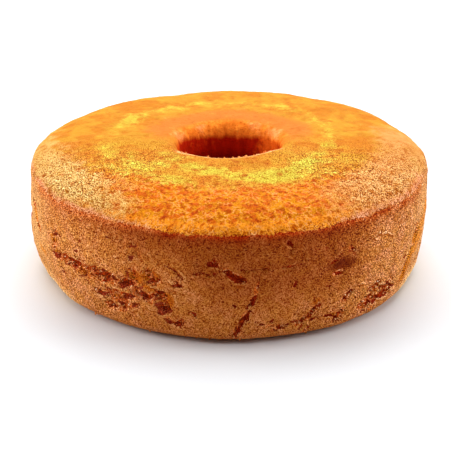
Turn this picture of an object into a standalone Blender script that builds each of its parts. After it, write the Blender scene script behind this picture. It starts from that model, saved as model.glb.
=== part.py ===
"""A cornmeal ring cake, baked in a 24 cm tin with a centre tube and turned the right way up.

It is one solid of bread-like crumb: a turned ring with a straight, slightly bulging wall, a rim where the
batter met the tin's edge, a low dome and a hole left by the tube. The crust isn't a separate piece, so its
marks are relief in the same solid: the places where the wall's skin stayed in the tin, the pits that steam
left, and the lumpy crown where the dome stretched as it rose. Metres, +Z up, origin on the table under the
hole's centre.
"""

import itertools
import math

import bmesh
import bpy
import numpy as np

# Driving dimensions
RIM_RADIUS = 0.118  # the 24 cm tin, less the cake's shrinkage as it cools
RIM_HEIGHT = 0.0642
TOP_HEIGHT = 0.0762
HOLE_RADIUS = 0.0313  # at the lip; the tin's tube is narrowest there
HOLE_TAPER = 0.0025  # how much wider the hole is at the base
BASE_RADIUS = 0.1162
WALL_BULGE = 0.0027

# Rounding of the section
BASE_CORNER_WIDTH = 0.0112
BASE_CORNER_HEIGHT = 0.0090
HOLE_CORNER = 0.0040
CROWN_RADIUS = 0.0800  # where the dome is highest
LIP_DROP = 0.0100  # how far the top falls as it rounds into the hole
SHOULDER_ROUNDNESS = 2.10
LIP_ROUNDNESS = 13.0

# Mesh
TURN_STEPS = 384
POINT_GAP = 0.0017
TRIANGLES = 11700

# Relief
SWELL_CELL, SWELL_HEIGHT = 0.034, 0.0010  # slow unevenness all over
LUMP_CELL, LUMP_HEIGHT = 0.0095, 0.0004  # bumps the size of a hazelnut
CROWN_RING_RADIUS = 0.0660  # the stretched, lumpy ring on the dome
CROWN_RING_WIDTH = 0.0110
CROWN_LUMP_CELL, CROWN_LUMP_HEIGHT = 0.0080, 0.0010
RIM_BEAD_HEIGHT, RIM_BEAD_WIDTH, RIM_BEAD_WAVE = 0.0007, 0.0022, 0.0012
TEAR_DEPTH, TEAR_EDGE = 0.0021, 0.0008
WIDE_TEAR = 0.0030  # half width from which a tear has its full depth
TEAR_RAGGED_CELL = 0.0042
CRUMB_CELL, CRUMB_HEIGHT = 0.0034, 0.0011
SOLE_RIM, SOLE_FADE = 0.0008, 0.0036  # the sole is flat on the tin: the relief starts above it

# Where the wall stands proud or sinks, seen from the front (-Y): angle in degrees to the right, height,
# spread and amount in metres.
WALL_SWELLS = (
    (-76, 0.023, 0.015, 0.0023),
    (-62, 0.008, 0.013, -0.0014),
    (66, 0.015, 0.013, -0.0014),
    (30, 0.005, 0.015, 0.0014),
    (31, 0.042, 0.0042, -0.0010),  # a burst bubble
)

# The same on the dome: angle, distance from the hole's axis, spread and amount.
DOME_SWELLS = (
    (-30, 0.037, 0.015, 0.0016),
    (6, 0.038, 0.015, 0.0020),
    (38, 0.037, 0.015, 0.0018),
    (86, 0.035, 0.013, 0.0011),
)

# Where the wall's skin stayed in the tin: each tear runs from one angle and height to another and has a half
# width.
FRONT_TEARS = (
    (-52, 0.0455, -53.5, 0.0350, 0.0020),
    (-54, 0.0330, -46, 0.0325, 0.0026),
    (-47, 0.0330, -36, 0.0320, 0.0038),
    (-36, 0.0325, -27, 0.0320, 0.0036),
    (-27.5, 0.0320, -25.5, 0.0322, 0.0032),
    (-24, 0.0272, -20.5, 0.0265, 0.0032),
    (-37, 0.0215, -30, 0.0200, 0.0022),
    (-33, 0.0245, -25, 0.0240, 0.0018),
    (-34, 0.0135, -28.5, 0.0145, 0.0020),
    (-29, 0.0185, -24, 0.0195, 0.0020),
    (-24.8, 0.0392, -23.6, 0.0355, 0.0022),
    (-20.6, 0.0415, -18.6, 0.0375, 0.0024),
    (-16.6, 0.0290, -16.2, 0.0215, 0.0028),
    (-15.8, 0.0138, -13.9, 0.0104, 0.0014),
    (-13.9, 0.0104, -11.8, 0.0134, 0.0014),
    (-0.6, 0.0462, 3.7, 0.0402, 0.0018),
    (6.2, 0.0300, 5.4, 0.0250, 0.0014),
    (5.2, 0.0215, 3.2, 0.0135, 0.0016),
    (3.1, 0.0135, 1.6, 0.0045, 0.0016),
    (12.3, 0.0085, 15.2, 0.0108, 0.0014),
    (18.2, 0.0105, 21.3, 0.0152, 0.0018),
    (21.6, 0.0150, 23.8, 0.0215, 0.0018),
    (29.2, 0.0085, 31.3, 0.0128, 0.0018),
    (31.8, 0.0205, 33.8, 0.0238, 0.0015),
    (38.5, 0.0110, 44, 0.0225, 0.0030),
    (43.5, 0.0125, 50, 0.0145, 0.0026),
    (47, 0.0175, 50, 0.0200, 0.0018),
    (57, 0.0160, 61.5, 0.0290, 0.0030),
    (61.5, 0.0340, 64.5, 0.0405, 0.0030),
    (-70, 0.0500, -64, 0.0400, 0.0022),
)
BACK_TEARS = 30
BACK_FIRST_ANGLE, BACK_LAST_ANGLE = 78, 282
PITS = 110
SEED = 24


def lattice_noise(points, cell, seed):
    """A smooth random value from -1 to 1: each grid corner has its own, and a point blends its eight."""
    scaled = points / cell
    low = np.floor(scaled).astype(np.int64)
    part = scaled - low
    part = part * part * (3 - 2 * part)
    total = np.zeros(len(points))
    for corner in itertools.product((0, 1), repeat=3):
        weight = np.prod(np.where(corner, part, 1 - part), axis=1)
        total += weight * corner_value(low + np.array(corner), seed)
    return total


def corner_value(corner, seed):
    """A number from -1 to 1 that depends only on the grid corner and the seed."""
    mixed = (corner * np.array([73856093, 19349663, 83492791])).sum(axis=1) + seed * 2654435
    for shift, factor in ((15, 2246822519), (13, 3266489917)):
        mixed = ((mixed ^ (mixed >> shift)) * factor) & 0xFFFFFFFF
    return mixed / 0x7FFFFFFF - 1


def smooth_step(x):
    """0 below 0, 1 above 1, and an even S between them."""
    x = np.clip(x, 0, 1)
    return x * x * (3 - 2 * x)


def dome_outline():
    """The top of the section from the hole's lip to the rim: two quarter curves that meet at the crown."""
    turn = np.linspace(0, math.pi / 2, 60)
    inner = HOLE_RADIUS + (CROWN_RADIUS - HOLE_RADIUS) * (1 - np.cos(turn) ** (2 / LIP_ROUNDNESS))
    inner_height = TOP_HEIGHT - LIP_DROP * (1 - np.sin(turn))
    outer = RIM_RADIUS - (RIM_RADIUS - CROWN_RADIUS) * (1 - np.cos(turn) ** (2 / SHOULDER_ROUNDNESS))
    outer_height = RIM_HEIGHT + (TOP_HEIGHT - RIM_HEIGHT) * np.sin(turn) ** (2 / SHOULDER_ROUNDNESS)
    return [*zip(inner, inner_height), *zip(outer[-2::-1], outer_height[-2::-1])]


def wall_outline():
    """The outside from the rim down to the base corner, bulging a little where the tin's side bowed."""
    down = np.linspace(0, 1, 40)[1:]
    radius = RIM_RADIUS + (BASE_RADIUS - RIM_RADIUS) * down + WALL_BULGE * 4 * down * (1 - down)
    height = RIM_HEIGHT + (BASE_CORNER_HEIGHT - RIM_HEIGHT) * down
    return [*zip(radius, height)]


def base_outline():
    """The rounded outer corner, the flat sole and the small corner at the foot of the hole."""
    turn = np.linspace(0, math.pi / 2, 12)[1:]
    corner_radius = BASE_RADIUS - BASE_CORNER_WIDTH * (1 - np.cos(turn))
    corner_height = BASE_CORNER_HEIGHT * (1 - np.sin(turn))
    foot = HOLE_RADIUS + HOLE_TAPER
    foot_radius = foot + HOLE_CORNER * (1 - np.sin(turn))
    foot_height = HOLE_CORNER * (1 - np.cos(turn))
    sole_end = (foot + HOLE_CORNER, 0.0)
    return [*zip(corner_radius, corner_height), sole_end, *zip(foot_radius, foot_height)]


def even_points(outline, gap):
    """The closed outline again, as points one gap apart along it."""
    loop = np.array([*outline, outline[0]])
    along = np.concatenate([[0], np.cumsum(np.linalg.norm(np.diff(loop, axis=0), axis=1))])
    wanted = np.linspace(0, along[-1], round(along[-1] / gap) + 1)[:-1]
    return np.stack([np.interp(wanted, along, loop[:, 0]), np.interp(wanted, along, loop[:, 1])], axis=1)


def turned_ring(name):
    """The section as a closed wire in the XZ plane, which a Screw modifier turns once about Z."""
    section = even_points(dome_outline() + wall_outline() + base_outline(), POINT_GAP)
    wire = bmesh.new()
    corners = [wire.verts.new((radius, 0, max(height, 0))) for radius, height in section]
    for first, second in zip(corners, corners[1:] + corners[:1]):
        wire.edges.new((first, second))
    mesh = bpy.data.meshes.new(name)
    wire.to_mesh(mesh)
    wire.free()
    ring = bpy.data.objects.new(name, mesh)
    screw = ring.modifiers.new("turn", "SCREW")
    screw.steps = screw.render_steps = TURN_STEPS
    screw.use_merge_vertices = True
    screw.merge_threshold = 0.00001
    return ring


def back_tears():
    """Tears for the side turned away from the front, scattered low on the wall as they are in front."""
    draw = np.random.default_rng(SEED)
    tears = []
    for _ in range(BACK_TEARS):
        angle = draw.uniform(BACK_FIRST_ANGLE, BACK_LAST_ANGLE)
        height = 0.008 + 0.034 * draw.random() ** 1.6
        last_angle = angle + draw.uniform(1, 9)
        last_height = max(height + draw.uniform(-0.007, 0.007), 0.005)
        tears.append((angle, height, last_angle, last_height, draw.uniform(0.0014, 0.0038)))
    return tears


def along_wall(angle, centre):
    """How far round the wall an angle lies from the centre angle, in metres; both in radians."""
    return ((angle - centre + math.pi) % (2 * math.pi) - math.pi) * RIM_RADIUS


def torn_away(angle, height, ragged):
    """The share of a tear's full depth at each point, from the nearest stroke on the unrolled wall."""
    torn = np.zeros(len(angle))
    for first_angle, first_height, last_angle, last_height, half_width in (*FRONT_TEARS, *back_tears()):
        run = np.array([math.radians(last_angle - first_angle) * RIM_RADIUS, last_height - first_height])
        offset = np.stack([along_wall(angle, math.radians(first_angle)), height - first_height], axis=1)
        share = np.clip(offset @ run / (run @ run), 0, 1)
        distance = np.linalg.norm(offset - share[:, None] * run, axis=1)
        edge = smooth_step((half_width * (1 + 0.7 * ragged) - distance) / TEAR_EDGE)
        torn = np.maximum(torn, edge * min(1, half_width / WIDE_TEAR))
    return torn


def wall_swells(angle, height):
    """The wall's own swellings and hollows, each a smooth bell on the unrolled wall."""
    total = np.zeros(len(angle))
    for centre, level, spread, amount in WALL_SWELLS:
        across = along_wall(angle, math.radians(centre))
        total += amount * np.exp(-(across**2 + (height - level) ** 2) / spread**2)
    return total


def dome_swells(points):
    """The dome's own swellings and hollows, each a smooth bell seen from above."""
    total = np.zeros(len(points))
    for centre, reach, spread, amount in DOME_SWELLS:
        turn = math.radians(centre)
        across = points[:, 0] - reach * math.sin(turn)
        away = points[:, 1] + reach * math.cos(turn)
        total += amount * np.exp(-(across**2 + away**2) / spread**2)
    return total


def pit_depth(angle, height):
    """Round pits left by steam at the wall, deepest in the middle."""
    draw = np.random.default_rng(SEED + 1)
    depth = np.zeros(len(angle))
    for _ in range(PITS):
        centre = draw.uniform(0, 2 * math.pi)
        level = draw.uniform(0.010, 0.060)
        radius = draw.uniform(0.0010, 0.0022)
        reach = along_wall(angle, centre) ** 2 + (height - level) ** 2
        depth += 0.6 * radius * np.exp(-reach / radius**2)
    return depth


def relief(points):
    """How far each point of the smooth ring moves outwards along its normal."""
    radius = np.hypot(points[:, 0], points[:, 1])
    angle = np.arctan2(points[:, 0], -points[:, 1])
    height = points[:, 2]
    swell = SWELL_HEIGHT * lattice_noise(points, SWELL_CELL, SEED)
    lumps = LUMP_HEIGHT * lattice_noise(points, LUMP_CELL, SEED + 2)

    on_top = smooth_step((height - RIM_HEIGHT) / 0.006)
    ring = np.exp(-(((radius - CROWN_RING_RADIUS) / CROWN_RING_WIDTH) ** 2)) * on_top
    crown = CROWN_LUMP_HEIGHT * ring * (0.4 + lattice_noise(points, CROWN_LUMP_CELL, SEED + 3))

    on_wall = smooth_step((radius - 0.9 * RIM_RADIUS) / 0.006)
    wavy_rim = RIM_HEIGHT - 0.002 + RIM_BEAD_WAVE * lattice_noise(points, 0.022, SEED + 4)
    bead = RIM_BEAD_HEIGHT * np.exp(-(((height - wavy_rim) / RIM_BEAD_WIDTH) ** 2))

    torn = torn_away(angle, height, lattice_noise(points, TEAR_RAGGED_CELL, SEED + 5))
    crumb = CRUMB_HEIGHT * lattice_noise(points, CRUMB_CELL, SEED + 6)
    wall = bead + wall_swells(angle, height) + torn * (crumb - TEAR_DEPTH) - pit_depth(angle, height)

    above_sole = smooth_step((height - SOLE_RIM) / SOLE_FADE)
    return above_sole * (swell + lumps + crown + on_top * dome_swells(points) + on_wall * wall)


def shape_crust(ring):
    """Moves the evaluated mesh's points by the relief, then thins the mesh to the triangles it needs."""
    graph = bpy.context.evaluated_depsgraph_get()
    mesh = bpy.data.meshes.new_from_object(ring.evaluated_get(graph))
    ring.modifiers.clear()
    ring.data = mesh
    count = len(mesh.vertices)
    points = np.empty(count * 3, np.float32)
    mesh.vertices.foreach_get("co", points)
    points = points.reshape(-1, 3).astype(float)
    normals = np.empty(count * 3, np.float32)
    mesh.vertices.foreach_get("normal", normals)
    points += normals.reshape(-1, 3) * relief(points)[:, None]
    points[:, 2] = np.maximum(points[:, 2], 0)
    low, high = points.min(axis=0), points.max(axis=0)
    points[:, :2] -= (low[:2] + high[:2]) / 2
    mesh.vertices.foreach_set("co", points.astype(np.float32).ravel())
    mesh.update()
    thin = ring.modifiers.new("thin", "DECIMATE")
    thin.ratio = TRIANGLES / (2 * len(mesh.polygons))


def crust_material():
    """Baked cornmeal crust: golden brown and dull."""
    crust = bpy.data.materials.new("golden_crust")
    crust.use_nodes = True
    shader = crust.node_tree.nodes["Principled BSDF"]
    shader.inputs["Base Color"].default_value = (0.62, 0.27, 0.06, 1)
    shader.inputs["Roughness"].default_value = 0.72
    shader.inputs["Metallic"].default_value = 0.0
    return crust


def clear_scene():
    for old in list(bpy.data.objects):
        bpy.data.objects.remove(old, do_unlink=True)


def main():
    clear_scene()
    parts = bpy.data.collections.new("cornmeal_ring_cake")
    bpy.context.scene.collection.children.link(parts)
    cake = turned_ring("cake")
    parts.objects.link(cake)
    bpy.context.view_layer.update()
    shape_crust(cake)
    cake.data.materials.append(crust_material())
    cake.data.shade_smooth()


main()
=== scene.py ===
# %% [markdown]
# # A cornmeal cake from a ring tin
# The real cake is one piece: yellow crumb inside a thin, unevenly browned crust. It was baked in a tin with a centre
# tube, so it has a straight wall, a flat sole and a hole, and it stands the way it rose, with its own dome on top.
# The imported solid has the form and the larger relief. Here one fine surface takes its place, with the grain, the
# pores, the torn skin and the colours of the bake, some of which are painted light and shade, and loose crumbs are
# laid on the torn places.

# %% Load the imported model
import itertools
import math

import bpy
import mathutils
import numpy as np
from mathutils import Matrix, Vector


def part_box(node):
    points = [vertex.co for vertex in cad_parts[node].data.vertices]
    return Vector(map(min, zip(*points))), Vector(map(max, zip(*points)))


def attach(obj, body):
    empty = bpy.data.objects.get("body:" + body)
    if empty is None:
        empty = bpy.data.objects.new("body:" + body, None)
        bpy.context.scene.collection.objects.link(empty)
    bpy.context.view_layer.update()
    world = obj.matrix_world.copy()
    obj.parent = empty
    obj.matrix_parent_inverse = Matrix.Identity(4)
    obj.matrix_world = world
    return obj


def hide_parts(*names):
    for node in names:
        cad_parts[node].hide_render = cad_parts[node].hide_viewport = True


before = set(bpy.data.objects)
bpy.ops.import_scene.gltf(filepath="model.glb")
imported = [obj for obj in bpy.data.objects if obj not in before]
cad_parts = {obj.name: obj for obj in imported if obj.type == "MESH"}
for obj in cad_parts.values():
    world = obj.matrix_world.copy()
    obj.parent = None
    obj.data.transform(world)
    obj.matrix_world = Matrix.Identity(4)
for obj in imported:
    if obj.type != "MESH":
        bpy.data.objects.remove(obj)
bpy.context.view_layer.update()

cake_low, cake_high = (np.array(corner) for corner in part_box("cake"))
print("cake box in mm:", np.round((cake_high - cake_low) * 1000, 1))

# %% [markdown]
# ## The ring's own sizes
# A ring cake is a turned shape, so its whole form is one section carried round the hole. The section needs only the
# sizes that a baker would give: how wide and high the tin was, where the dome is highest, how round the foot is.
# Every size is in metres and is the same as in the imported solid, so that the fine surface lies on it.

# %% Sizes of the section
RIM_RADIUS = 0.118
RIM_HEIGHT = 0.0642
TOP_HEIGHT = 0.0762
HOLE_RADIUS = 0.0313
HOLE_TAPER = 0.0025
BASE_RADIUS = 0.1162
WALL_BULGE = 0.0027
FOOT_WIDTH, FOOT_HEIGHT = 0.0112, 0.0090
HOLE_CORNER = 0.0040
CROWN_RADIUS = 0.0800
LIP_DROP = 0.0100
SHOULDER_ROUNDNESS = 2.10
LIP_ROUNDNESS = 13.0
DOME_SAMPLES, WALL_SAMPLES, FOOT_SAMPLES, CORNER_SAMPLES = 240, 160, 60, 24


def dome_outline():
    """From the hole's lip to the crown and on to the rim: two quarter curves of the form 1 - cos^p and sin^q."""
    turn = np.linspace(0, math.pi / 2, DOME_SAMPLES)
    inner = HOLE_RADIUS + (CROWN_RADIUS - HOLE_RADIUS) * (1 - np.cos(turn) ** (2 / LIP_ROUNDNESS))
    inner_height = TOP_HEIGHT - LIP_DROP * (1 - np.sin(turn))
    outer = RIM_RADIUS - (RIM_RADIUS - CROWN_RADIUS) * (1 - np.cos(turn) ** (2 / SHOULDER_ROUNDNESS))
    outer_height = RIM_HEIGHT + (TOP_HEIGHT - RIM_HEIGHT) * np.sin(turn) ** (2 / SHOULDER_ROUNDNESS)
    return np.array([*zip(inner, inner_height), *zip(outer[-2::-1], outer_height[-2::-1])])


def wall_outline():
    """The outside from the rim down to the foot: a straight line plus a bulge of 4 t (1 - t)."""
    down = np.linspace(0, 1, WALL_SAMPLES)
    radius = RIM_RADIUS + (BASE_RADIUS - RIM_RADIUS) * down + WALL_BULGE * 4 * down * (1 - down)
    return np.stack([radius, RIM_HEIGHT + (FOOT_HEIGHT - RIM_HEIGHT) * down], axis=1)


def foot_outline():
    """The rounded outer corner, a quarter ellipse down to the sole."""
    turn = np.linspace(0, math.pi / 2, FOOT_SAMPLES)
    return np.stack([BASE_RADIUS - FOOT_WIDTH * (1 - np.cos(turn)), FOOT_HEIGHT * (1 - np.sin(turn))], axis=1)


def hole_outline():
    """The small corner at the foot of the hole and its slightly tapered wall up to the lip."""
    turn = np.linspace(0, math.pi / 2, CORNER_SAMPLES)
    foot = HOLE_RADIUS + HOLE_TAPER
    corner = np.stack([foot + HOLE_CORNER * (1 - np.sin(turn)), HOLE_CORNER * (1 - np.cos(turn))], axis=1)
    return np.vstack([corner, [HOLE_RADIUS, TOP_HEIGHT - LIP_DROP]])


# %% [markdown]
# ## A grid that is fine where the eye looks
# The surface is a grid: one parameter goes round the hole and the other along the section. Even steps would waste
# half of the points on the sole, which nobody sees. So each stretch of the section gets its own step, about a
# millimetre on the wall and the dome, and much more on the sole. The steps round the ring are a little closer at the
# front as well.

# %% Points along the section and round the ring
WALL_STEP, DOME_STEP, FOOT_STEP, SOLE_STEP, HOLE_STEP = 0.00086, 0.00116, 0.0014, 0.0120, 0.0024
TURN_COUNT = 508
FRONT_CLOSENESS = 0.45


def stepped(outline, step):
    """The outline as points one step apart, its last point left out because the next stretch starts there."""
    along = np.concatenate([[0], np.cumsum(np.linalg.norm(np.diff(outline, axis=0), axis=1))])
    wanted = np.linspace(0, along[-1], max(round(along[-1] / step), 1) + 1)[:-1]
    return np.stack([np.interp(wanted, along, outline[:, 0]), np.interp(wanted, along, outline[:, 1])], axis=1)


def section_points():
    """The closed section as rows of radius and height, each stretch with its own step."""
    dome, wall, foot, hole = dome_outline(), wall_outline(), foot_outline(), hole_outline()
    sole = np.array([foot[-1], hole[0]])
    stretches = ((dome, DOME_STEP), (wall, WALL_STEP), (foot, FOOT_STEP), (sole, SOLE_STEP), (hole, HOLE_STEP))
    return np.vstack([stepped(outline, step) for outline, step in stretches])


def section_normals(section):
    """The outward direction at each point of the closed section: the tangent turned a quarter turn."""
    tangent = np.roll(section, -1, axis=0) - np.roll(section, 1, axis=0)
    normal = np.stack([-tangent[:, 1], tangent[:, 0]], axis=1)
    return normal / np.linalg.norm(normal, axis=1)[:, None]


def turn_angles():
    """Angles round the ring from the front, closer together there: u - k sin u."""
    even = np.linspace(0, 2 * math.pi, TURN_COUNT, endpoint=False)
    return even - FRONT_CLOSENESS * np.sin(even)


section = section_points()
angles = turn_angles()
print("section points:", len(section), "turns:", len(angles), "quads:", len(section) * len(angles))

# %% [markdown]
# ## Unevenness that repeats from run to run
# Crust is uneven at every size, from slow swells to single crumbs. Two kinds of random field are enough. Lattice
# noise blends random values at the corners of a grid of cells, which gives soft bumps. Crumb cells measure how far
# each point is from the nearest of scattered centres, which gives round grains with sharp creases between them. Both
# take their random values from a hash of the cell and a seed, so nothing changes from run to run.

# %% Soft steps and bells
def smooth_step(x):
    """0 below 0, 1 above 1, and x x (3 - 2 x) between them."""
    x = np.clip(x, 0, 1)
    return x * x * (3 - 2 * x)


def rise(value, start, width):
    """0 up to the start, 1 a width further on, and a smooth step between them."""
    return smooth_step((value - start) / width)


def fall(value, end, width):
    """1 until a width before the end, 0 from the end on, and a smooth step between them."""
    return smooth_step((end - value) / width)


def bell(value, middle, half_width):
    """exp(-d d), where d is the distance from the middle in half widths."""
    return np.exp(-(((value - middle) / half_width) ** 2))


# %% Random fields
CORNER_PRIMES = np.array([73856093, 19349663, 83492791])
SEED_PRIME = 2654435
HASH_ROUNDS = ((15, 2246822519), (13, 3266489917))


def corner_value(corner, seed):
    """A number from -1 to 1 that depends only on the grid corner and the seed."""
    hashed = (corner * CORNER_PRIMES).sum(axis=-1) + seed * SEED_PRIME
    for shift, factor in HASH_ROUNDS:
        hashed = ((hashed ^ (hashed >> shift)) * factor) & 0xFFFFFFFF
    return hashed / 0x7FFFFFFF - 1


def lattice_noise(points, cell, seed):
    """The eight corner values of the cell round each point, blended by smooth steps along the three axes."""
    scaled = points / cell
    low = np.floor(scaled).astype(np.int64)
    part = smooth_step(scaled - low)
    total = np.zeros(len(points))
    for corner in itertools.product((0, 1), repeat=3):
        weight = np.prod(np.where(corner, part, 1 - part), axis=1)
        total += weight * corner_value(low + np.array(corner), seed)
    return total


def crumb_cells(points, cell, seed):
    """The distances to the nearest and second nearest scattered centre, one centre in each cell, in cells."""
    scaled = points / cell
    low = np.floor(scaled).astype(np.int64)
    nearest = np.full(len(points), np.inf)
    second = np.full(len(points), np.inf)
    for step in itertools.product((-1, 0, 1), repeat=3):
        around = low + np.array(step)
        centre = around + 0.5 + 0.5 * np.stack([corner_value(around, seed + axis) for axis in range(3)], axis=1)
        distance = np.linalg.norm(centre - scaled, axis=1)
        second = np.minimum(second, np.maximum(distance, nearest))
        nearest = np.minimum(nearest, distance)
    return nearest, second


# %% [markdown]
# ## Where the skin tore
# A ring cake often leaves some of its skin in the tin. What is left is a ragged hollow with loose crumb in it. On
# the unrolled wall each tear is a short stroke from one place to another, with a half width. The distance to the
# nearest stroke, roughened by noise, says what is torn. The thin cracks and the small flakes that curl off the wall
# are strokes too. A stroke is angle, height, angle, height, half width: angles are in degrees to the right of the
# front, and the rest is in millimetres here, so that the tables stay easy to read.

# %% Tears
WIDE_TEARS = (
    (-52, 45.5, -53.5, 35, 2), (-54, 33, -46, 32.5, 2.6), (-47, 33, -36, 32, 3.8),
    (-36, 32.5, -27, 32, 3.6), (-27.5, 32, -25.5, 32.2, 3.2), (-24, 27.2, -20.5, 26.5, 3.2),
    (-37, 21.5, -30, 20, 2.2), (-33, 24.5, -25, 24, 1.8), (-34, 13.5, -28.5, 14.5, 2),
    (-29, 18.5, -24, 19.5, 2), (-24.8, 39.2, -23.6, 35.5, 2.2), (-20.6, 41.5, -18.6, 37.5, 2.4),
    (-16.6, 29, -16.2, 21.5, 2.8), (-15.8, 13.8, -13.9, 10.4, 1.4), (-13.9, 10.4, -11.8, 13.4, 1.4),
    (-0.6, 46.2, 3.7, 40.2, 1.8), (6.2, 30, 5.4, 25, 1.4), (5.2, 21.5, 3.2, 13.5, 1.6),
    (3.1, 13.5, 1.6, 4.5, 1.6), (12.3, 8.5, 15.2, 10.8, 1.4), (18.2, 10.5, 21.3, 15.2, 1.8),
    (21.6, 15, 23.8, 21.5, 1.8), (29.2, 8.5, 31.3, 12.8, 1.8), (31.8, 20.5, 33.8, 23.8, 1.5),
    (38.5, 11, 44, 22.5, 3), (43.5, 12.5, 50, 14.5, 2.6), (47, 17.5, 50, 20, 1.8), (57, 16, 61.5, 29, 3),
    (61.5, 34, 64.5, 40.5, 3), (-70, 50, -64, 40, 2.2),
)
FINE_TEARS = (
    (-12.8, 37.5, -12, 36, 1.2), (-9.5, 19.5, -8.8, 17.8, 1), (-4.2, 50.3, -2.4, 49.5, 1),
    (7.4, 38, 6.6, 31, 0.8), (8.6, 10.5, 11, 11.8, 0.9), (20.5, 4, 21.6, 8, 1.1),
    (16.9, 37.5, 16.5, 34.5, 0.8), (27.6, 37.8, 29.6, 38.6, 1.1), (32.5, 50.5, 33.8, 48, 0.9),
    (39.5, 5, 43.8, 8.5, 1.1), (14.8, 60.5, 15.2, 59, 1.2),
)

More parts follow.
